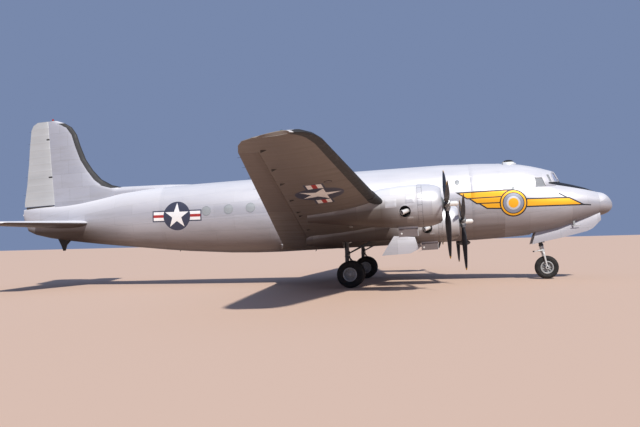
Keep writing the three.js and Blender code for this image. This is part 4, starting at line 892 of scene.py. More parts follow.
def make_engine(name, engine):
    hub = hub_of(engine)
    side, up = cross_axes(AFT)
    shape = Shape()
    for row, place in enumerate(CYLINDER_ROWS):
        for number in range(CYLINDERS):
            turn = 2 * math.pi * (number + row * 0.5) / CYLINDERS + math.pi / 2
            outward = side * math.cos(turn) + up * math.sin(turn)
            across = AFT.cross(outward)
            shape.turn(cylinder_profile(), hub + AFT * place, outward, 16, "cast_engine")
            if row:
                continue

            def spot(back, out, aside, way=1):
                return hub + AFT * back + outward * out + across * aside * way

            for way in (-1, 1):
                shape.bar((spot(*ROD_FOOT, way), spot(*ROD_HEAD, way)), 0.011, 8, "hub_steel")
                box = block(spot(*ROCKER, way), outward * 0.022, across * 0.024, AFT * 0.04)
                shape.add(box, "cast_engine")
            shape.bar(curved([spot(*point) for point in PLUG_LEAD], 4), 0.007, 6, "black_rubber")
    shape.turn(CRANKCASE, hub, AFT, 40, "grey_engine_case")
    centre = hub + AFT * HARNESS_AFT
    spots = oval(centre, side * HARNESS_RADIUS, up * HARNESS_RADIUS, 36)
    ways = [(point - centre).normalized() * HARNESS_THICK for point in spots]
    rings = [oval(point, way, AFT * HARNESS_THICK, 8) for point, way in zip(spots, ways)]
    shape.add(lofted(rings, loop=True), "hub_steel")
    # A near-black disc behind the cylinders: painted shade inside the cowl
    shape.turn(pin(0.52, 0.535, 0.7), hub, AFT, 48, "dark_inside")
    make(f"radial_engine_{name}", shape, "airframe", replaces=[f"engine_{name}"])


# Wheels and tyres, each by the places of its frame nodes
def node_middle(*names):
    lows, highs = zip(*(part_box(name) for name in names))
    low = Vector([min(corner[axis] for corner in lows) for axis in range(3)])
    high = Vector([max(corner[axis] for corner in highs) for axis in range(3)])
    return (low + high) / 2


MAIN_TYRE, NOSE_TYRE, RIM = 0.5625, 0.53, 0.275
# half a tyre's section: from its middle and outside the rim, then from its middle and below its ribbed tread
TYRE_WALL = ((0.128, 0.0), (0.15, 0.012), (0.172, 0.045), (0.189, 0.095), (0.195, 0.145))
TYRE_TREAD = (
    (0.19, 0.105), (0.176, 0.062), (0.155, 0.03), (0.132, 0.014), (0.104, 0.005), (0.1, 0.013),
    (0.088, 0.012), (0.084, 0.002), (0.05, 0.0), (0.046, 0.01), (0.034, 0.01), (0.03, 0.0),
)
# along the axle, radius: the rim with its flanges, the dished web and the brake drum
WHEEL_RIM = (
    (-0.168, 0.278), (-0.168, 0.262), (-0.15, 0.248), (0.15, 0.248), (0.168, 0.262), (0.168, 0.292),
    (0.176, 0.292), (0.18, 0.262), (0.158, 0.235), (-0.158, 0.235), (-0.18, 0.262), (-0.176, 0.292),
    (-0.168, 0.292),
)
WHEEL_WEB = (
    (-0.02, 0.0), (-0.02, 0.243), (0.012, 0.243), (0.03, 0.2), (0.04, 0.12), (0.075, 0.092),
    (0.12, 0.088), (0.128, 0.076), (0.134, 0.0),
)
BRAKE_DRUM = ((0.03, 0.0), (0.03, 0.225), (0.15, 0.225), (0.16, 0.2), (0.16, 0.0))
MAIN_SPOKES, NOSE_SPOKES = 12, 9


def add_tyre(shape, centre, radius):
    half = [(along, RIM + high) for along, high in TYRE_WALL]
    half += [(along, radius - deep) for along, deep in TYRE_TREAD]
    section = [*half, *[(-along, out) for along, out in half[::-1]]]
    shape.turn(section, centre, OUT, 72, "tyre", loop=True)


def add_wheel(shape, centre, way, spokes):
    """A cast wheel: rim flanges, a dished web with ribs on its outer face, and a hub cap."""
    shape.turn(WHEEL_RIM, centre, OUT, 56, "wheel_paint", loop=True)
    shape.turn([(along * way, radius) for along, radius in WHEEL_WEB], centre, OUT, 48, "wheel_paint")
    for turn in turns(spokes):
        outward = Vector((math.cos(turn), 0, math.sin(turn)))
        middle = centre + outward * 0.165 + OUT * way * 0.055
        rib = block(middle, outward * 0.082, outward.cross(OUT) * 0.016, OUT * 0.03)
        shape.add(rib, "wheel_paint")
        bolt = centre + outward * 0.105 + OUT * way * 0.085
        shape.turn(pin(-0.02, 0.014, 0.009), bolt, OUT, 6, "hub_steel")


def make_main_wheels(side):
    body = f"main_wheels_{side}"
    names = [f"main_tyre_{label}_{side}" for label in ("inner", "outer")]
    tyres, wheels = Shape(), Shape()
    middle = node_middle(body)
    for name in names:
        centre = node_middle(name)
        hand = 1 if centre.y > middle.y else -1
        add_tyre(tyres, centre, MAIN_TYRE)
        add_wheel(wheels, centre, hand, MAIN_SPOKES)
        drum = [(-along * hand, radius) for along, radius in BRAKE_DRUM]
        wheels.turn(drum, centre, OUT, 40, "grey_engine_case")
    wheels.bar((middle - OUT * 0.6, middle + OUT * 0.6), 0.06, 24, "hub_steel")
    make(f"main_tyres_{side}", tyres, body, replaces=names, angle=40)
    make(f"main_wheel_castings_{side}", wheels, body, replaces=[body])


def make_nose_wheel():
    centre = node_middle("nose_tyre")
    tyre, wheel = Shape(), Shape()
    add_tyre(tyre, centre, NOSE_TYRE)
    make("nose_wheel_tyre", tyre, "nose_wheel", replaces=["nose_tyre"], angle=40)
    for way in (-1, 1):
        add_wheel(wheel, centre, way, NOSE_SPOKES)
    wheel.bar((centre - OUT * 0.29, centre + OUT * 0.29), 0.045, 24, "hub_steel")
    make("nose_wheel_casting", wheel, "nose_wheel", replaces=["nose_wheel"])


# Pieces laid on the frame's own skins
def skin_of(*names):
    """The surfaces of frame nodes, to lay pieces on."""
    points, faces = [], []
    for name in names:
        first = len(points)
        points += [nodes[name].matrix_world @ vertex.co for vertex in nodes[name].data.vertices]
        faces += [[first + index for index in face.vertices] for face in nodes[name].data.polygons]
    return BVHTree.FromPolygons(points, faces)


def landed(skin, place, toward):
    """Where a place meets a skin when it moves one way, and the skin's normal there."""
    hit, normal, _, _ = skin.ray_cast(place, toward)
    return hit, -normal if normal.dot(toward) > 0 else normal


def laid(skin, outline, toward, rows, loop=False):
    """A plate or a frame on a skin: rows of a share of the outline's size and a height off the skin."""
    middle = sum(outline, Vector()) / len(outline)
    rings = []
    for share, high in rows:
        spots = [landed(skin, middle + (point - middle) * share, toward) for point in outline]
        rings.append([hit + normal * high for hit, normal in spots])
    return lofted(rings, loop=loop)


def rounded(corners, radius, pitch=0.08):
    """An outline with its corners rounded and its long edges divided."""
    steps = 5
    points = []
    for i, corner in enumerate(corners):
        before, after = corners[i - 1] - corner, corners[(i + 1) % len(corners)] - corner
        start, end = corner + before.normalized() * radius, corner + after.normalized() * radius
        shares = [t / steps for t in range(steps + 1)]
        points += [start.lerp(corner, share).lerp(corner.lerp(end, share), share) for share in shares]
    divided = []
    for point, ahead in zip(points, points[1:] + points[:1]):
        count = max(1, math.ceil((ahead - point).length / pitch))
        divided += [point.lerp(ahead, k / count) for k in range(count)]
    return divided


def beside(way, outline):
    """An outline of stations and heights, well out to one side."""
    return [at(station, way * 4, up) for station, up in outline]


# The windscreen's half pane as (out, up), and each side pane as (station, up)
SCREEN_PANE = ((0.045, 0.6), (0.69, 0.56), (0.65, 0.69), (0.54, 0.86), (0.4, 0.945), (0.045, 0.985))
FRONT_PANE = ((2.69, 0.57), (2.775, 0.55), (2.885, 0.88), (2.79, 0.9))
SIDE_PANE = ((2.985, 0.375), (3.43, 0.345), (3.44, 0.765), (3.125, 0.765))
# Outlines of the windscreen and its wipers are laid aft from this station
SCREEN_FROM = 1.2
# share of the outline, height: a frame's inner foot, inner edge, outer edge and outer foot
WIDE_FRAME = ((1.005, -0.02), (1.005, 0.01), (1.03, 0.014), (1.13, 0.012), (1.15, -0.004))
SLIM_FRAME = ((1.005, -0.02), (1.005, 0.008), (1.06, 0.01), (1.07, -0.004))


def make_cockpit_frames():
    skin = skin_of("nose_section")
    shape = Shape()
    for way in SIDES.values():
        for outline, rows, corner in ((FRONT_PANE, SLIM_FRAME, 0.02), (SIDE_PANE, WIDE_FRAME, 0.06)):
            points = rounded(beside(way, outline), corner)
            shape.add(laid(skin, points, -OUT * way, rows, loop=True), "pane_frame")
        screen = rounded([at(SCREEN_FROM, way * out, up) for out, up in SCREEN_PANE], 0.03)
        shape.add(laid(skin, screen, AFT, SLIM_FRAME, loop=True), "pane_frame")
        # Wiper: a pivot below the pane with its arm and blade
        foot, normal = landed(skin, at(SCREEN_FROM, way * 0.42, 0.545), AFT)
        tip = foot + UP * 0.26 + OUT * way * 0.09 + AFT * 0.1
        shape.bar((foot - normal * 0.02, foot + normal * 0.035), 0.016, 10, "black_rubber")
        shape.bar((foot + normal * 0.03, tip + normal * 0.03), 0.007, 6, "black_rubber")
        rest = tip + normal * 0.02
        blade = (rest - UP * 0.15 + FORWARD * 0.06, rest + UP * 0.11 + AFT * 0.05)
        shape.bar(blade, 0.01, 6, "black_rubber")
    make("cockpit_window_frames", shape)


ASTRODOME_FOOT = (4.44, 0, 1.5)
# up from its foot, radius: the dome's rim, the cap of painted shade seen through it and the ring that clamps
# it
DOME_RIM = ((0.0, 0.0), (0.0, 0.338), (0.055, 0.338), (0.06, 0.325))
DOME_CAP = ((0.15, 0.0), (0.15, 0.262), (0.185, 0.25), (0.225, 0.185), (0.25, 0.105), (0.258, 0.0))
DOME_RING = ((0.02, 0.33), (0.02, 0.365), (0.075, 0.352), (0.085, 0.335))


def make_astrodome():
    foot = at(*ASTRODOME_FOOT)
    glass = [*DOME_RIM, *domed(0.0, 0.245, 0.325, 10, 3, 10), (0.247, 0.0)]
    shape = Shape().turn(glass, foot, UP, 40, "dome").turn(DOME_CAP, foot, UP, 32, "dark_inside")
    shape.turn(DOME_RING, foot, UP, 40, "pane_frame", loop=True)
    make("navigators_dome", shape, "airframe", replaces=["astrodome"])


# station, height, radius: round windows, all under riveted covers
ROUND_WINDOWS = (
    (18.583, 0.35, 0.21), (17.484, 0.35, 0.21), (16.414, 0.35, 0.21),
    (6.878, 0.798, 0.1), (4.453, 0.364, 0.065),
)
# share of the outline, height off the skin: a large window's cover, a small window's, and the ring round each
COVER = ((1.0, -0.003), (1.0, 0.006), (0.96, 0.012), (0.8, 0.013), (0.5, 0.018), (0.03, 0.022))
PORTHOLE = ((1.0, -0.003), (1.0, 0.012), (0.8, 0.012), (0.76, 0.004), (0.4, 0.006), (0.03, 0.008))
COVER_RING = ((1.0, 0.004), (1.0, 0.016), (1.06, 0.016), (1.08, -0.004))
LARGE_WINDOW = 0.2
# stations of the cargo doors' front, middle and rear edges on the left, and of the joints ahead of them
DOOR_FRONT, DOOR_MIDDLE, DOOR_REAR = 16.95, 18.145, 19.34
NOSE_END, FORWARD_CABIN_END = 5, 9


def part_at(station, way):
    """The part that carries a side window; on the left it may be a cargo door."""
    if way > 0 and DOOR_FRONT < station < DOOR_REAR:
        return "cargo_door_front" if station < DOOR_MIDDLE else "cargo_door_rear"
    if station < FORWARD_CABIN_END:
        return "nose_section" if station < NOSE_END else "cabin_forward"
    return "cabin_aft"


def make_round_windows():
    """Each cover rides on the part it is riveted to, which on the left is the cargo door for two of them."""
    fixed = Shape()
    leaves = {"cargo_door_front": Shape(), "cargo_door_rear": Shape()}
    for way in SIDES.values():
        for station, up, radius in ROUND_WINDOWS:
            name = part_at(station, way)
            skin = skin_of(name)
            spots = [(station + radius * math.cos(turn), up + radius * math.sin(turn)) for turn in turns(40)]
            outline = beside(way, spots)
            shape = leaves.get(name, fixed)
            cover = COVER if radius > LARGE_WINDOW else PORTHOLE
            shape.add(laid(skin, outline, -OUT * way, cover), "cover")
            shape.add(laid(skin, outline, -OUT * way, COVER_RING, loop=True), "cover")
    make("window_covers", fixed, angle=30)
    for name, shape in leaves.items():
        make(f"window_cover_{name}", shape, name, angle=30)


# Nacelles: the exhaust port in the outboard side and the oil cooler's outlet, from the propeller's plane
PORT_AFT, PORT_UP, PORT_RADIUS = 1.49, -0.19, 0.2
COOLER_BACK, COOLER_LOW, COOLER_HALF = 1.78, -1.08, 0.25
PORT_RIM = ((1.03, -0.02), (1.03, 0.012), (1.09, 0.012), (1.11, -0.004))
# along, radius of turned parts: the port's cup, the pipe's lip and the drain cap
PORT_CUP = ((0.0, 0.0), (0.0, 0.19), (0.125, 0.196), (0.125, 0.204), (-0.012, 0.204), (-0.012, 0.0))
PIPE_LIP = ((-0.02, 0.078), (-0.02, 0.09), (0.012, 0.09), (0.012, 0.072))
DRAIN_CAP = ((-0.01, 0.0), (-0.01, 0.034), (0.012, 0.034), (0.022, 0.026), (0.026, 0.0))
# aft and up from the port, and out: the exhaust pipe's bend
PIPE_BEND = ((-0.11, 0.6, 0.03), (-0.06, 0.67, 0.02), (0.03, 0.745, -0.01), (0.105, 0.795, -0.035))
# aft of the outlet, out, below it: the outlet's flap
OUTLET_FLAP = ((-0.01, -0.22, 0.003), (-0.01, 0.22, 0.003), (0.13, 0.21, 0.045), (0.13, -0.21, 0.045))
# aft of the propeller's plane, height, half length, half height of the access panels
ACCESS_PANELS = ((1.3, 0.22, 0.16, 0.13), (1.98, 0.12, 0.2, 0.15), (1.32, -0.5, 0.12, 0.1))
PANEL_ROWS = ((1.0, -0.003), (1.0, 0.004), (0.97, 0.005), (0.5, 0.005), (0.03, 0.005))


def make_nacelle_parts(name, engine):
    away = OUT * math.copysign(1, engine["out"])
    skin = skin_of(f"nacelle_{name}")
    shape = Shape()

    def spot(aft, out, up):
        return at(engine["plane"] + aft, engine["out"] + away.y * out, engine["up"] + up)

    port = [
        (PORT_AFT + PORT_RADIUS * math.cos(turn), PORT_UP + PORT_RADIUS * math.sin(turn))
        for turn in turns(40)
    ]
    rim = [spot(aft, 2, up) for aft, up in port]
    shape.add(laid(skin, rim, -away, PORT_RIM, loop=True), "cowl")
    # The port's smooth cup in painted shade, and the pipe that leaves it aft and down
    shape.turn(PORT_CUP, spot(PORT_AFT, 0.6, PORT_UP), away, 40, "dark_inside")
    bend = curved([spot(PORT_AFT + aft, out, PORT_UP + up) for aft, out, up in PIPE_BEND], 5)
    shape.bar(bend, 0.082, 24, "bright_steel")
    mouth = (bend[-1] - bend[-2]).normalized()
    shape.turn(PIPE_LIP, bend[-1], mouth, 28, "bright_steel", loop=True)
    # A disc of painted shade in the pipe's mouth
    shape.turn(pin(0.0, 0.004, 0.074), bend[-1], mouth, 28, "dark_inside")
    # The outlet's louvres, near black as painted shade between them, its flap, and the side plates with their
    # round drain caps
    lean, flat = (FORWARD * 0.6 + UP * 0.8) * 0.045, (UP * 0.6 - FORWARD * 0.8) * 0.003
    for step in range(4):
        middle = spot(COOLER_BACK - 0.05 - 0.07 * step, 0, COOLER_LOW + 0.155)
        shape.add(block(middle, lean, OUT * 0.205, flat), "dark_inside")
    flap = [spot(COOLER_BACK + back, out, COOLER_LOW - drop) for back, out, drop in OUTLET_FLAP]
    shape.add(slab(flap, -UP * 0.008), "cowl")
    back, low = COOLER_BACK - 0.004, COOLER_LOW - 0.004
    for way in (-1, 1):
        cap = spot(COOLER_BACK - 0.1, way * COOLER_HALF, COOLER_LOW + 0.11)
        shape.turn(DRAIN_CAP, cap, away * way, 20, "dome_white")
        edge = [(1.1, -0.8), (back, -0.8), (back, low), (1.1, low)]
        plate = [spot(aft, way * (COOLER_HALF + 0.004), up) for aft, up in edge]
        shape.add(slab(plate, away * way * 0.004), "cooler_paint")
    # Access panels with a raised rim on both sides
    for aft, up, wide, tall in ACCESS_PANELS:
        for way in (-1, 1):
            corners = [spot(aft + wide * a, 2 * way, up + tall * b) for a, b in CORNERS]
            shape.add(laid(skin, rounded(corners, 0.03), -away * way, PANEL_ROWS), "cowl")
    make(f"nacelle_ports_{name}", shape, angle=32)


# The wing's plane: stations of its leading and trailing edges and its height, at a distance out
def leading(out):
    return 9.15 + 0.0955 * out


def trailing(out):
    return 15.18 - 0.1315 * out


def wing_height(out):
    return -1.29 + math.tan(math.radians(8)) * out


def wing_edge(way, out):
    return at(leading(out), way * out, wing_height(out))


# Rubber de-icing sleeves on the leading edges
# share of a sleeve's reach aft, from its rear edge to the front
SLEEVE_SHARES = (1, 0.65, 0.35, 0.15, 0.05)
# height, leading station, reach aft of the fin's sleeve
FIN_EDGE = (
    (1.91, 23.26, 0.55), (2.07, 23.81, 0.5), (2.4, 24.35, 0.34), (2.89, 24.77, 0.27), (3.46, 25.12, 0.25),
    (4.19, 25.38, 0.24), (4.77, 25.54, 0.24), (5.16, 25.79, 0.26), (5.395, 26.15, 0.38),
)
# distance out and length of the wing sleeve's straight run, its reach aft, and how much less at the outer end
SLEEVE_FROM, SLEEVE_LENGTH, SLEEVE_REACH, SLEEVE_TAPER = 9.3, 7.4, 0.3, 0.09
# distance out, sweep aft and drop of the tip's leading edge from the wing's, reach aft of the sleeve
TIP_EDGE = (
    (17.0, 0.03, 0.004, 0.21), (17.3, 0.074, 0.01, 0.21), (17.5, 0.14, 0.024, 0.2),
    (17.7, 0.225, 0.04, 0.19), (17.86, 0.43, 0.072, 0.13),
)
# distance out, reach ahead of the wing's leading edge where it swells into the outer nacelle's side
EDGE_FILLET = ((8.7, 0.2), (8.84, 0.17), (8.95, 0.125), (9.06, 0.075), (9.2, 0.026), (9.34, 0.004))


def sleeve(skin, edges, cross):
    """A sleeve glued over a leading edge; edges holds places along it with the sleeve's reach aft."""
    rings = []
    for edge, reach in edges:
        outer, inner = [], []
        for hand, shares in ((1, SLEEVE_SHARES), (-1, SLEEVE_SHARES[::-1])):
            for share in shares:
                hit, normal = landed(skin, edge + AFT * reach * share + cross * hand, -cross * hand)
                outer.append(hit + normal * (0.002 if share == 1 else 0.007))
                inner.append(hit - normal * 0.008)
        outer.insert(len(SLEEVE_SHARES), edge + FORWARD * 0.01)
        inner.insert(len(SLEEVE_SHARES), edge - FORWARD * 0.006)
        rings.append([*outer, *inner[::-1]])
    return lofted(rings)


def edge_fillet(skin, way):
    """The sleeve's inner end, over the fillet between the leading edge and the nacelle."""
    rings = []
    for out, ahead in EDGE_FILLET:
        edge = wing_edge(way, out)
        high = landed(skin, edge + AFT * 0.3 + UP, -UP)[0]
        low = landed(skin, edge + AFT * 0.3 - UP, UP)[0]
        nose = edge + FORWARD * (ahead + 0.012) - UP * ahead
        points = []
        for turn in (math.pi * (k / 12 - 0.5) for k in range(13)):
            rear = low.lerp(high, 0.5 + 0.5 * math.sin(turn)) + UP * 0.006 * math.sin(turn)
            points.append(rear + (nose - low.lerp(high, 0.5)) * math.cos(turn) ** 0.8)
        rings.append(points)
    return lofted(rings)


def make_sleeves():
    for side, way in SIDES.items():
        edges = []
        for share in (k / 10 for k in range(11)):
            edge = wing_edge(way, SLEEVE_FROM + SLEEVE_LENGTH * share)
            edges.append((edge, SLEEVE_REACH - SLEEVE_TAPER * share))
        for out, shift, drop, reach in TIP_EDGE:
            edges.append((wing_edge(way, out) + AFT * shift - UP * drop, reach))
        skin = skin_of(f"wing_outer_{side}", "wing_center_section")
        shape = Shape().add(sleeve(skin, edges, UP), "rubber_sleeve")
        shape.add(edge_fillet(skin, way), "rubber_sleeve")
        make(f"wing_deicing_sleeve_{side}", shape, "airframe")
    edges = [(at(station, 0, up), reach) for up, station, reach in FIN_EDGE]
    shape = Shape().add(sleeve(skin_of("fin"), edges, OUT), "rubber_sleeve")
    make("fin_deicing_sleeve", shape, "airframe")


# reach outward of the tip rim's rows, lift toward the top, share of the chord
TIP_RIM = (
    (-0.004, 0.0, 1.0), (0.01, 0.22, 0.998), (0.026, 0.5, 0.988), (0.042, 0.76, 0.97), (0.052, 0.92, 0.95),
)


def height_along(line, x):
    """The height of a line of (x, z) points at x, or nothing beyond its ends."""
    for (x0, z0), (x1, z1) in zip(line, line[1:]):
        if x0 <= x <= x1:
            return z0 + (z1 - z0) * (x - x0) / max(x1 - x0, 1e-6)
    return None


def make_wing_tips():
    """A rim that draws each wing tip's end in to a thin edge near its top."""
    for side, way in SIDES.items():
        node = nodes[f"wing_outer_{side}"]
        corners = [AIRFRAME.inverted() @ (node.matrix_world @ vertex.co) for vertex in node.data.vertices]
        end = max(way * corner.y for corner in corners)
        tip = [corner for corner in corners if way * corner.y > end - 0.004]
        middle = sum(tip, Vector()) / len(tip)
        tip.sort(key=lambda corner: math.atan2((corner.z - middle.z) * 8, corner.x - middle.x))
        tip = [a for a, b in zip(tip, tip[1:] + tip[:1]) if (a - b).length > 0.002]
        top = sorted((corner.x, corner.z) for corner in tip if corner.z >= middle.z)
        crests = [height_along(top, corner.x) for corner in tip]
        rings = []
        for reach, lift, draw in TIP_RIM:
            row = []
            for corner, crest in zip(tip, crests):
                z = corner.z if crest is None else corner.z + (crest - corner.z) * lift
                x = middle.x + (corner.x - middle.x) * draw
                row.append(AIRFRAME @ Vector((x, corner.y + way * reach, z)))
            rings.append(row)
        shape = Shape().add(lofted(rings), "wing")
        make(f"wing_tip_rim_{side}", shape, angle=50)


# Main landing gear, by places ahead of its wheels, out from their middle and above the ground
WHEEL_OUT = 3.765
LEG_AHEAD = -0.165
# height, radius: the outer cylinder with its gland nut and clamp rings, and the forging at its foot
CYLINDER = (
    (0.98, 0.0), (0.98, 0.084), (1.0, 0.098), (1.045, 0.098), (1.05, 0.088), (1.28, 0.088), (1.285, 0.102),
    (1.325, 0.102), (1.33, 0.088), (1.6, 0.088), (1.605, 0.1), (1.64, 0.1), (1.645, 0.09), (1.88, 0.092),
    (1.92, 0.104), (2.07, 0.104), (2.07, 0.0),
)
FORGING = ((0.55, 0.0), (0.55, 0.07), (0.57, 0.092), (0.7, 0.096), (0.735, 0.08), (0.735, 0.0))
# along, radius of the sleeve round the axle
AXLE_SLEEVE = (
    (-0.156, 0.0), (-0.156, 0.125), (-0.13, 0.125), (-0.12, 0.108), (0.12, 0.108), (0.13, 0.125),
    (0.156, 0.125), (0.156, 0.0),
)
# height of the torque links' roots, and which way each rises to the elbow
LINKS = ((0.72, 1), (1.3, -1))
ELBOW_AHEAD, ELBOW_HEIGHT = 0.15, 1.01
TRUNNION_HEIGHT = 1.99
# ahead, height, out of the brake hose
BRAKE_HOSE = (
    (LEG_AHEAD + 0.1, 1.55, 0.06), (LEG_AHEAD + 0.125, 1.25, 0.075), (LEG_AHEAD + 0.15, 0.95, 0.09),
    (0.03, 0.72, 0.15), (0.1, 0.67, 0.172),
)


def make_main_leg(side):
    way = SIDES[side]

    def on(ahead, height, out=0.0):
        return Vector((MAIN_X + ahead, way * (WHEEL_OUT + out), height))

    def across(ahead, height, half, radius, sides, finish):
        shape.bar((on(ahead, height, -half), on(ahead, height, half)), radius, sides, finish)

    shape = Shape()
    foot = on(LEG_AHEAD, 0)
    shape.turn(CYLINDER, foot, UPRIGHT, 32, "leg_paint")
    shape.turn(pin(0.7, 1.0, 0.066), foot, UPRIGHT, 28, "chrome")
    shape.turn(FORGING, foot, UPRIGHT, 28, "leg_paint")
    arm = (on(0, MAIN_TYRE), on(-0.07, 0.6), on(LEG_AHEAD, 0.645))
    shape.bar(arm, (0.086, 0.082, 0.088), 24, "leg_paint")
    shape.turn(AXLE_SLEEVE, on(0, MAIN_TYRE), OUT, 32, "leg_paint")
    for hand in (-1, 1):
        # Brake: a backing plate with its cylinder block
        shape.boss(on(0, MAIN_TYRE, hand * 0.185), 0.205, 0.018, "grey_engine_case")
        brake = block(on(0.13, 0.6, hand * 0.175), Vector((0.03, 0, 0)), OUT * 0.03, UPRIGHT * 0.07)
        shape.add(brake, "grey_engine_case")
        # Torque links: two arms each way to the elbow
        for height, rise in LINKS:
            root = on(LEG_AHEAD + 0.06, height, hand * 0.075)
            elbow = on(ELBOW_AHEAD, ELBOW_HEIGHT - rise * 0.012, hand * 0.032)
            shape.bar((root, root.lerp(elbow, 0.5), elbow), (0.03, 0.021, 0.024), 14, "leg_paint")
        # Braces forward and up, each with a lug at its ends and a knuckle in the middle
        low, high = on(LEG_AHEAD + 0.05, 1.42, hand * 0.075), on(1.15, 2.06, hand * 0.33)
        brace = [low.lerp(high, share) for share in (0, 0.06, 0.48, 0.94, 1)]
        shape.bar(brace, (0.04, 0.029, 0.034, 0.029, 0.04), 18, "leg_paint")
        shape.boss(brace[2], 0.052, 0.04, "dark_steel")
        for end in (low, high):
            shape.boss(end, 0.05, 0.036, "dark_steel")
        hose = curved([on(ahead, height, hand * out) for ahead, height, out in BRAKE_HOSE], 6)
        shape.bar(hose, 0.011, 10, "black_rubber")
    for height, _ in LINKS:
        across(LEG_AHEAD + 0.06, height, 0.105, 0.026, 16, "dark_steel")
    across(ELBOW_AHEAD, ELBOW_HEIGHT, 0.062, 0.026, 16, "dark_steel")
    # Trunnion across the bay, with its end bearings, and the retraction jack ahead of it
    across(LEG_AHEAD, TRUNNION_HEIGHT, 0.555, 0.078, 24, "leg_paint")
    for hand in (-1, 1):
        shape.boss(on(LEG_AHEAD, TRUNNION_HEIGHT, hand * 0.52), 0.092, 0.036, "dark_steel")
    jack = (on(LEG_AHEAD + 0.02, 1.86), on(0.35, 2.01), on(0.9, 2.2))
    shape.bar(jack, (0.034, 0.046, 0.046), 18, "chrome")
    make(f"main_landing_gear_leg_{side}", shape, "airframe", replaces=[f"main_leg_{side}"])


# Nose landing gear, by distance up the steering axis from the wheel's axle, out and aft
STEER_RAKE = math.radians(12)
STEER = Vector((-math.sin(STEER_RAKE), 0, math.cos(STEER_RAKE)))
NOSE_HUB = node_middle("nose_tyre")
# up the axis, radius: the fork's crown and the strut with its gland nut and clamp rings
CROWN = (
    (0.7, 0.0), (0.7, 0.088), (0.73, 0.1), (0.8, 0.1), (0.81, 0.09), (0.9, 0.09), (0.91, 0.1),
    (0.972, 0.1), (0.976, 0.0),
)
STRUT = (
    (0.99, 0.0), (0.99, 0.1), (1.0, 0.108), (1.06, 0.108), (1.07, 0.094), (1.3, 0.094), (1.31, 0.106),
    (1.35, 0.106), (1.36, 0.094), (1.66, 0.096), (1.7, 0.108), (1.8, 0.108), (1.82, 0.0),
)
# up the axis, out: the fork's tines and the hose; then up, out, aft, radius of the steering cylinders
TINE = ((0.0, 0.25), (0.3, 0.25), (0.58, 0.252), (0.68, 0.228), (0.75, 0.13), (0.78, 0.0))
NOSE_HOSE = ((1.6, 0.1), (1.35, 0.125), (1.12, 0.115), (1.03, 0.105))
STEERING_JACK = (
    (0.8, 0.07, 0.0, 0.036), (0.785, 0.072, 0.2, 0.036),
    (0.78, 0.072, 0.21, 0.02), (0.765, 0.074, 0.4, 0.02),
)
TRUNNION_UP = 1.78
# ahead, radius: the taxi lamp's shell and glass
LAMP_SHELL = ((-0.06, 0.0), (-0.055, 0.04), (-0.02, 0.075), (0.03, 0.088), (0.04, 0.088), (0.04, 0.0))
LAMP_GLASS = ((0.038, 0.0), (0.038, 0.08), (0.044, 0.078), (0.056, 0.0))


def steer(up, out=0.0, aft=0.0):
    return NOSE_HUB + STEER * up + OUT * out + AFT * aft


def make_nose_gear():
    fork = Shape().turn(CROWN, NOSE_HUB, STEER, 32, "gear_white")
    fork.bar((steer(0.9), steer(1.18)), 0.056, 24, "chrome")
    for hand in (-1, 1):
        path = curved([steer(up, hand * out) for up, out in TINE], 4)
        fork.bar(path, [0.034 + 0.026 * k / 20 for k in range(len(path))], 20, "gear_white")
        fork.boss(steer(0, hand * 0.25), 0.078, 0.03, "gear_white")
        fork.boss(steer(0, hand * 0.288), 0.04, 0.012, "dark_steel")
        jack = [steer(up, hand * out, aft) for up, out, aft, _ in STEERING_JACK]
        fork.bar(jack, [radius for *_, radius in STEERING_JACK], 18, "gear_white")
        fork.boss(jack[-1], 0.03, 0.024, "dark_steel")
    make("nose_wheel_fork", fork, "nose_fork", replaces=["nose_fork"])
    leg = Shape().turn(STRUT, NOSE_HUB, STEER, 32, "leg_paint")
    top = steer(TRUNNION_UP)
    leg.bar((top - OUT * 0.375, top + OUT * 0.375), 0.07, 24, "leg_paint")
    for hand in (-1, 1):
        leg.boss(top + OUT * hand * 0.345, 0.082, 0.03, "dark_steel")
        start = steer(1.33, hand * 0.09)
        end = top + Vector((0.86, 0, 0.09)) + OUT * hand * 0.16
        knuckle = start.lerp(end, 0.45)
        leg.bar((start, knuckle, end), (0.026, 0.03, 0.026), 16, "leg_paint")
        leg.boss(knuckle, 0.04, 0.028, "dark_steel")
        leg.bar(curved([steer(up, hand * out) for up, out in NOSE_HOSE], 5), 0.01, 10, "black_rubber")
    # Taxi lamp on the strut's front
    lamp = steer(1.24) + FORWARD * 0.15
    leg.bar((steer(1.24), lamp), 0.018, 12, "dark_steel")
    leg.turn(LAMP_SHELL, lamp, FORWARD, 28, "leg_paint").turn(LAMP_GLASS, lamp, FORWARD, 28, "lamp_glass")
    make("nose_landing_gear_leg", leg, "airframe", replaces=["nose_leg"])


# top station, top height, low station, low height of the gear doors' rows
MAIN_DOOR = ((8.86, -1.53, 8.73, -2.03), (9.0, -1.515, 9.08, -2.19), (9.72, -1.44, 10.26, -2.215))
NOSE_DOOR = (
    (0.64, -0.91, 0.62, -1.3), (0.95, -1.02, 0.99, -1.64), (1.26, -1.12, 1.26, -1.76),
    (2.37, -1.45, 2.37, -1.98), (3.27, -1.6, 3.27, -2.12), (3.48, -1.63, 3.7, -2.21),
)
# how far each door bows outward, how far its middle is to the side, and at which of its rows the ribs are
MAIN_BOW, MAIN_DOOR_OUT, MAIN_RIBS = 0.06, 0.672, (0.12, 0.6, 1.1, 1.5, 1.85)
NOSE_BOW, NOSE_DOOR_OUT, NOSE_RIBS = 0.05, 0.42, (0.5, 1.3, 2.2, 2.8, 3.4, 4.2, 4.8)
# half width along the door and distance off its middle: a rib's section and a stringer's
RIB = ((-0.02, -0.01), (0.02, -0.01), (0.013, -0.04), (-0.013, -0.04))
STRINGER = ((-0.018, -0.01), (0.018, -0.01), (0.012, -0.034), (-0.012, -0.034))
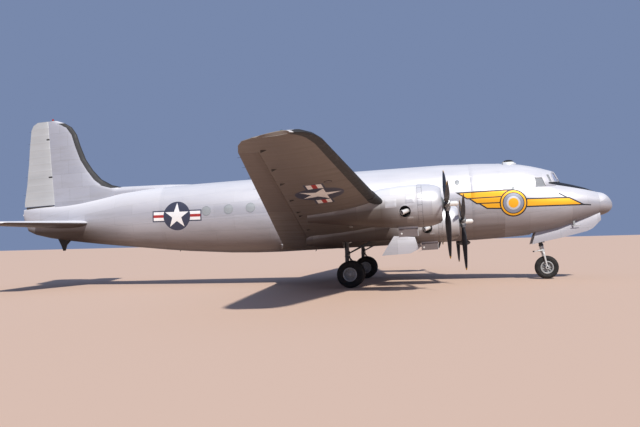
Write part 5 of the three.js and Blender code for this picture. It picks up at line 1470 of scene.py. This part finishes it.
# share of the door's height, distance off its middle: a hinge arm
HINGE_ARM = ((0.4, -0.03), (0.1, -0.075), (-0.06, -0.085))


def door_ribs(shape, rows, out, way, bow, ribs):
    """Pressed ribs and stringers on a door's inner face, with its hinge arms."""

    def place(row, share, off):
        index = min(int(row), len(rows) - 2)
        ends = zip(rows[index], rows[index + 1])
        top_station, top_up, low_station, low_up = (a + (b - a) * (row - index) for a, b in ends)
        side = out + way * (bow * math.sin(math.pi * share * 0.75) + off)
        return at(top_station + (low_station - top_station) * share, side, top_up + (low_up - top_up) * share)

    for row in ribs:
        rib = [[place(row + wide, share, off) for wide, off in RIB] for share in (0.12, 0.35, 0.6, 0.8, 0.95)]
        shape.add(lofted(rib), "bay_paint")
    steps = [(len(rows) - 1) * (0.03 + 0.94 * k / 12) for k in range(13)]
    for share in (0.16, 0.55, 0.93):
        stringer = [[place(row, share + wide, off) for wide, off in STRINGER] for row in steps]
        shape.add(lofted(stringer), "bay_paint")
    for row in (ribs[0], ribs[-1]):
        arm = [place(row, share, off) for share, off in HINGE_ARM]
        shape.bar(arm, (0.014, 0.018, 0.018), 12, "dark_steel")


def make_door_ribs():
    for side, way in SIDES.items():
        shape = Shape()
        for hand in (-1, 1):
            out = way * (WHEEL_OUT + hand * MAIN_DOOR_OUT)
            door_ribs(shape, MAIN_DOOR, out, way * hand, MAIN_BOW, MAIN_RIBS)
        door_ribs(shape, NOSE_DOOR, way * NOSE_DOOR_OUT, way, NOSE_BOW, NOSE_RIBS)
        make(f"gear_door_ribs_{side}", shape)


# Wing and tail fittings
# distance out of the hinge brackets below the ailerons and flaps, and the share of the chord where they end
WING_HINGES = (2.6, 5.6, 8.36, 9.01, 10.95, 13.24, 14.93, 16.81)
HINGE_SHARE = 0.728
# ahead of a bracket's end, drop below the skin, height within it, half width
BRACKET = ((0.16, 0.0, 0.035, 0.008), (0.08, 0.035, 0.05, 0.02), (0.0, 0.065, 0.05, 0.018))
# distance out, distance behind the leading edge
FUEL_CAPS = ((5.6, 1.2), (7.0, 1.2), (10.2, 1.0), (11.8, 0.95))
# station, out of the landing lamp in the underside, and station, out, up of the tip's lamp
LANDING_LAMP, TIP_LAMP = (11.2, 12.9), (11.55, 18.3, 1.22)
# share of the outline, height off the skin: the landing lamp's rim and lid, and a fuel cap
LAMP_RIM = ((1.0, -0.003), (1.0, 0.006), (0.86, 0.008), (0.84, 0.004))
LAMP_LID = ((0.84, 0.0), (0.84, 0.006), (0.5, 0.01), (0.03, 0.012))
FUEL_CAP = ((1.0, -0.003), (1.0, 0.005), (0.7, 0.008), (0.66, 0.004), (0.03, 0.004))


def make_wing_fittings():
    for side, way in SIDES.items():
        skin = skin_of("wing_center_section", f"wing_outer_{side}")
        shape = Shape()
        for out in WING_HINGES:
            aft = leading(out) + HINGE_SHARE * (trailing(out) - leading(out))
            rings = []
            for ahead, low, high, half in BRACKET:
                point = landed(skin, at(aft - ahead, way * out, -4), UP)[0]
                low_side = low * 0.6
                section = ((-1, -high), (1, -high), (1, low_side), (0.3, low), (-0.3, low), (-1, low_side))
                rings.append([point + OUT * half * a - UP * drop for a, drop in section])
            shape.add(lofted(rings), "bracket_paint")
        # Landing lamp's flush lid in the underside, fuel caps on top and the coloured lamp at the tip
        lamp = oval(at(LANDING_LAMP[0], way * LANDING_LAMP[1], -4), FORWARD * 0.13, OUT * 0.13, 32)
        shape.add(laid(skin, lamp, UP, LAMP_RIM), "bracket_paint")
        shape.add(laid(skin, lamp, UP, LAMP_LID), "cooler_paint")
        for out, back in FUEL_CAPS:
            cap = oval(at(leading(out) + back, way * out, 6), FORWARD * 0.09, OUT * 0.09, 24)
            shape.add(laid(skin, cap, -UP, FUEL_CAP), "dark_edge")
        tip = skin.find_nearest(at(TIP_LAMP[0], way * TIP_LAMP[1], TIP_LAMP[2]))[0]
        bulb = [(-0.07 + 0.11 * k / 10, 0.022 * math.sin(math.pi * (k / 10) ** 0.7)) for k in range(1, 10)]
        lens = [(-0.072, 0.0), *bulb, (0.041, 0.0)]
        shape.turn(lens, tip, FORWARD, 20, "lamp_red" if way > 0 else "lamp_green")
        make(f"wing_fittings_{side}", shape)


# distance out or height of the static wicks along each trailing edge
AILERON_WICKS = (11.2, 12.6, 14.0, 15.2, 16.2)
ELEVATOR_WICKS = (1.6, 2.8, 4.0, 5.0, 5.5)
RUDDER_WICKS = (1.9, 2.8, 3.7, 4.5, 5.1)
ELEVATOR_HEIGHT = 0.225
# how far ahead of the trailing edge a tab's two horns stand
TAB_HORNS = (0.42, 0.14)


def make_wicks():
    """Static wicks along the trailing edges, and the tabs' push rods, on the surfaces that turn."""
    rows = []
    for side, way in SIDES.items():
        places = [(trailing(out), way * out, wing_height(out)) for out in AILERON_WICKS]
        rows.append((f"aileron_{side}", UP, places))
        places = [(27.95 - 0.06 * out, way * out, ELEVATOR_HEIGHT) for out in ELEVATOR_WICKS]
        rows.append((f"elevator_{side}", UP, places))
    rows.append(("rudder", OUT, [(28.53 - 0.12 * (up - 1.5), 0, up) for up in RUDDER_WICKS]))
    for name, cross, places in rows:
        skin = skin_of(name)
        shape = Shape()
        for place in places:
            edge = skin.find_nearest(at(*place))[0]
            wick = [edge + AFT * back for back in (-0.05, 0.015, 0.13)]
            shape.bar(wick, (0.005, 0.005, 0.002), 8, "black_rubber")
        # A tab's push rod between its two horns on one face
        station, out, up = places[1]
        horns = [landed(skin, at(station - ahead, out, up) + cross, -cross) for ahead in TAB_HORNS]
        (foot, normal), (end, far) = horns
        shape.bar((foot - normal * 0.01, foot + normal * 0.035), (0.016, 0.009), 12, "dark_steel")
        shape.bar((end - far * 0.008, end + far * 0.045), (0.014, 0.008), 12, "dark_steel")
        shape.bar((foot + normal * 0.03, end + far * 0.04), 0.007, 10, "dark_steel")
        make(f"{name}_fittings", shape, name)


# Thin skins over the frame's own shapes
# height of the nose cap's skin off its flat facets, and how finely it is curved along and around
NOSE_SKIN = 0.004
NOSE_FINE_ALONG, NOSE_FINE_ROUND = 6, 3


def nose_cap_rows():
    """The nose cap's own rows of points from its front: their middles, and their points in turning order."""
    inverse = AIRFRAME.inverted() @ nodes["nose_cap"].matrix_world
    rows = {}
    for vertex in nodes["nose_cap"].data.vertices:
        place = inverse @ vertex.co
        rows.setdefault(round(MAIN_STATION - place.x, 2), set()).add((round(place.y, 3), round(place.z, 3)))
    middles, lines = [], []
    for station, places in sorted(rows.items()):
        heights = [up for _, up in places]
        middle = (min(heights) + max(heights)) / 2
        bearings = {place: math.atan2(place[1] - middle, place[0]) + math.pi + 0.1 for place in places}
        ordered = sorted(places, key=lambda place: bearings[place] % (2 * math.pi))
        middles.append(Vector((station, 0, middle)))
        lines.append([Vector((station, out, up)) for out, up in ordered])
    return middles, lines


def make_nose_skin():
    middles, lines = nose_cap_rows()
    count = len(lines[0])
    top = middles[0]
    mirrored = [Vector((middles[1].x, 2 * top.y - place.y, 2 * top.z - place.z)) for place in lines[1]]
    beyond = [2 * last - before for last, before in zip(lines[-1], lines[-2])]
    lines = [mirrored, *lines, beyond]
    gaps = len(middles) - 1
    rings = []
    for step in range(gaps * NOSE_FINE_ALONG + 1):
        gap = min(step // NOSE_FINE_ALONG, gaps - 1)
        t = step / NOSE_FINE_ALONG - gap
        middle = middles[gap].lerp(middles[gap + 1], t)
        row = [eased(*(line[i] for line in lines[gap : gap + 4]), t) for i in range(count)]
        points = []
        for i in range(count):
            for part in range(NOSE_FINE_ROUND):
                place = eased(*(row[(i + k) % count] for k in (-1, 0, 1, 2)), part / NOSE_FINE_ROUND)
                off = Vector((0, place.y - middle.y, place.z - middle.z)).normalized() * NOSE_SKIN
                ahead = NOSE_SKIN * (1 - place.x / middles[-1].x)
                points.append(at(place.x - ahead, place.y + off.y, place.z + off.z))
        rings.append(points)
    make("nose_cap_skin", Shape().add(lofted(rings), "nose_cap"), angle=60)


# station of the riveted strap over the joint aft of the cockpit, and how finely it is curved
STRAP_STATION = 5.0
STRAP_SIDES = 96
# its rows aft of the joint: place, share of the step between the two skins, height off the skin
STRAP_AFT = (
    (-1.31, 0.0, -0.002), (-1.3, 0.0, 0.002), (-1.1, 0.1, 0.003), (-0.9, 0.25, 0.003),
    (-0.7, 0.42, 0.004), (-0.5, 0.59, 0.004), (-0.3, 0.76, 0.004), (-0.15, 0.88, 0.004), (-0.02, 0.985, 0.004),
)
# its rows ahead of the joint: place and height off the skin
STRAP_AHEAD = ((0.045, 0.004), (0.1, 0.004), (0.12, 0.003), (0.125, -0.002))


def make_joint_strap():
    cabin, nose = skin_of("cabin_forward"), skin_of("nose_section")
    ways = [-(OUT * math.cos(turn) + UP * math.sin(turn)) for turn in turns(STRAP_SIDES)]

    def met(skin, ahead):
        middle = at(STRAP_STATION - ahead, 0, -0.12)
        return [landed(skin, middle - way * 4, way) for way in ways]

    joint = zip(met(cabin, STRAP_AFT[-1][0]), met(nose, STRAP_AHEAD[0][0]), ways)
    steps = [max(0.0, (inner - outer).dot(way)) for (inner, _), (outer, _), way in joint]
    rings = []
    for ahead, share, high in STRAP_AFT:
        spots = zip(met(cabin, ahead), steps)
        rings.append([hit + normal * (high + step * share) for (hit, normal), step in spots])
    rings += [[hit + normal * high for hit, normal in met(nose, ahead)] for ahead, high in STRAP_AHEAD]
    shape = Shape().add(lofted(rings, capped=False), "cabin")
    make("cockpit_joint_strap", shape, angle=40)


# height and length of the two hinge openings in the rudder's leading edge, their half height and section
RUDDER_OPENINGS = ((4.625, 0.17), (2.705, 0.21))
OPENING_HALF = 0.035
OPENING = ((1.0, -0.004), (1.0, 0.004), (0.8, 0.007), (0.05, 0.007))
# stations of the fairing strip that closes the gap below the rudder
RUDDER_STRIP = (26.98, 27.4, 27.8, 28.2, 28.44)


def rudder_hinge_line(up):
    """The station of the rudder's hinge at a height."""
    return 26.905 + (up - 1.25) / 4.3 * 0.155


def make_rudder_openings():
    rudder = skin_of("rudder")
    shape = Shape()
    for up, length in RUDDER_OPENINGS:
        front = rudder_hinge_line(up) - 0.06
        corners = [(front + length * (a > 0), up + OPENING_HALF * b) for a, b in CORNERS]
        for way in (-1, 1):
            outline = rounded([at(station, way * 2, high) for station, high in corners], 0.02, pitch=0.05)
            # Each opening is a thin plate of painted shade laid on the skin
            shape.add(laid(rudder, outline, -OUT * way, OPENING), "dark_inside")
    make("rudder_hinge_openings", shape, "rudder")


def make_rudder_strip():
    cone, rudder = skin_of("tail_section"), skin_of("rudder")
    rings = []
    for station in RUDDER_STRIP:
        low = landed(cone, at(station, 0, 4), -UP)[0] - UP * 0.012
        high = landed(rudder, at(station, 0, 0.2), UP)[0] - UP * 0.018
        rings.append([low + OUT * 0.05, high + OUT * 0.03, high - OUT * 0.03, low - OUT * 0.05])
    shape = Shape().add(lofted(rings), "bracket_paint")
    make("fairing_strip_below_rudder", shape, angle=32, bevel=0.006)


# share of a mast's height, size of its section there
MAST_ROWS = ((-0.1, 1.0), (0.0, 1.0), (0.5, 0.85), (0.92, 0.66), (1.0, 0.45))
BODY_NODES = (
    "nose_section", "nose_cap", "cabin_forward", "cabin_center", "cabin_aft", "tail_section", "fin",
    "wing_center_section",
)
# station, out of each fitting's foot: pitot masts, loop aerial, belly mast, temperature probe and fin beacon
PITOT, LOOP_AERIAL, BELLY_MAST, PROBE, FIN_BEACON = (1.82, 0.6), (6.73, 0), (7.8, 0), (4.74, -0.5), (26.78, 0)
LOOP_HALF, LOOP_RADIUS = 0.33, 0.125
TAIL_LAMP_FOOT = (28.59, 0, 0.885)
# ahead, radius of a pitot tube
PITOT_TUBE = ((-0.1, 0.01), (0.1, 0.018), (0.24, 0.014), (0.27, 0.009))
# station, out of the fuel vents and drains along the belly
VENTS = ((10.2, 0.5), (13.6, -0.5), (20.5, 0.2), (3.9, 0.5))
BEACON = ((0.02, 0.0), (0.02, 0.056), *domed(0.05, 0.075, 0.056, 7, 0, 7), (0.125, 0.0))
TAIL_LAMP = ((0.0, 0.0), *domed(0.02, 0.05, 0.045, 7, 0, 7), (0.07, 0.0))
# station, height of the tail bumper's outline; then how far to the side and how much narrower its rows are
BUMPER = (
    (26.1, -0.52), (26.84, -0.385), (26.66, -0.78), (26.585, -1.02), (26.555, -1.055), (26.485, -1.055),
    (26.455, -1.02), (26.37, -0.78),
)
BUMPER_STATION = 26.5
BUMPER_ROWS = ((-0.045, 0.04), (-0.035, 0.0), (0.035, 0.0), (0.045, 0.04))


def mast(foot, lean, height, chord, thick):
    """A streamlined mast: an oval that narrows from its foot to its tip."""
    along, across = FORWARD * chord / 2, FORWARD.cross(lean).normalized() * thick / 2
    rows = [(foot + lean * height * share, size) for share, size in MAST_ROWS]
    return lofted([oval(centre, along * size, across * size, 20) for centre, size in rows])


def make_body_fittings():
    shape = Shape()
    body = skin_of(*BODY_NODES)

    def below(station, out):
        return landed(body, at(station, out, -3.5), UP)[0]

    # Pitot masts under the nose, each with its tube
    for way in (-1, 1):
        foot = below(PITOT[0], way * PITOT[1])
        shape.add(mast(foot + UP * 0.02, -UP, 0.24, 0.11, 0.026), "cover")
        tube_path = [foot - UP * 0.22 + FORWARD * ahead for ahead, _ in PITOT_TUBE]
        shape.bar(tube_path, [radius for _, radius in PITOT_TUBE], 16, "hub_steel")
    # Loop aerial's fairing and masts below
    foot = below(*LOOP_AERIAL)
    bulge = [math.sin(math.pi * (k / 16) ** 0.8) ** 0.75 for k in range(1, 16)]
    fairing = [(LOOP_HALF * (k / 8 - 1), LOOP_RADIUS * wide) for k, wide in enumerate(bulge, 1)]
    shape.turn([(-LOOP_HALF, 0.0), *fairing, (LOOP_HALF, 0.0)], foot - UP * 0.1, AFT, 28, "dark_edge")
    shape.add(mast(foot + UP * 0.03, -UP, 0.1, 0.2, 0.06), "cover")
    shape.add(mast(below(*BELLY_MAST) + UP * 0.02, -UP * 0.96 + AFT * 0.28, 0.3, 0.12, 0.026), "dark_edge")
    # Temperature probe beside the cockpit
    foot = landed(body, at(*PROBE, 4), -UP)[0]
    head = foot + UP * 0.115
    shape.bar((foot - UP * 0.02, foot + UP * 0.12), 0.012, 12, "hub_steel")
    shape.bar((head - FORWARD * 0.03, head + FORWARD * 0.11), (0.012, 0.008), 12, "hub_steel")
    # Anti-collision beacon on the fin and the white lamp in the tail cone
    foot = landed(body, at(*FIN_BEACON, 7), -UP)[0]
    shape.turn(pin(-0.03, 0.02, 0.066), foot, UP, 24, "cover").turn(BEACON, foot, UP, 24, "lamp_red")
    shape.turn(TAIL_LAMP, at(*TAIL_LAMP_FOOT), AFT, 20, "lamp_glass")
    for station, out in VENTS:
        foot = below(station, out)
        vent = (foot + UP * 0.02, foot - UP * 0.05, foot - UP * 0.08 + AFT * 0.04)
        shape.bar(vent, (0.02, 0.018, 0.016), 14, "dark_steel")
    make("aerials_and_lamps", shape)


def make_tail_bumper():
    rings = []
    for out, inset in BUMPER_ROWS:
        rings.append([at(station + (BUMPER_STATION - station) * inset, out, up) for station, up in BUMPER])
    shape = Shape().add(lofted(rings), "black")
    make("tail_bumper_skid", shape, "airframe", replaces=["tail_bumper"], angle=40)


# Floor and light
FLOOR_HALF = 600
FLOOR_COLOUR, SKY_COLOUR, SKY_STRENGTH = "#cdb19e", "#a2b8e6", 0.52
SUN_COLOUR, SUN_STRENGTH, SUN_ANGLE, SUN_FROM = (1.0, 0.96, 0.9), 4.4, math.radians(2.5), (1.8, -4.65, 4.65)


def make_stage():
    scene = bpy.context.scene
    mesh = bpy.data.meshes.new("floor")
    mesh.from_pydata([(a * FLOOR_HALF, b * FLOOR_HALF, 0) for a, b in CORNERS], [], [(0, 1, 2, 3)])
    floor = bpy.data.objects.new("floor", mesh)
    made, _ = material("pale_floor", FLOOR_COLOUR, 0.95)
    mesh.materials.append(made)
    scene.collection.objects.link(floor)
    world = bpy.data.worlds.new("pale_sky")
    world.use_nodes = True
    sky = world.node_tree.nodes["Background"]
    sky.inputs["Color"].default_value = linear(SKY_COLOUR)
    sky.inputs["Strength"].default_value = SKY_STRENGTH
    scene.view_settings.view_transform = "Standard"
    scene.world = world
    sun = bpy.data.objects.new("sun", bpy.data.lights.new("sun", "SUN"))
    sun.data.energy = SUN_STRENGTH
    sun.data.angle = SUN_ANGLE
    sun.data.color = SUN_COLOUR
    sun.rotation_euler = Vector(SUN_FROM).to_track_quat("Z", "Y").to_euler()
    scene.collection.objects.link(sun)


make_camera()
make_stage()
mix_finishes()
dress_nodes()
for name, engine in ENGINES.items():
    make_propeller(name, engine)
    make_cowl(name, engine)
    make_engine(name, engine)
for side in SIDES:
    make_main_wheels(side)
make_nose_wheel()
make_cockpit_frames()
make_astrodome()
make_round_windows()
for name, engine in ENGINES.items():
    make_nacelle_parts(name, engine)
make_sleeves()
make_wing_tips()
for side in SIDES:
    make_main_leg(side)
make_nose_gear()
make_door_ribs()
make_wing_fittings()
make_wicks()
make_nose_skin()
make_joint_strap()
make_rudder_openings()
make_rudder_strip()
make_body_fittings()
make_tail_bumper()
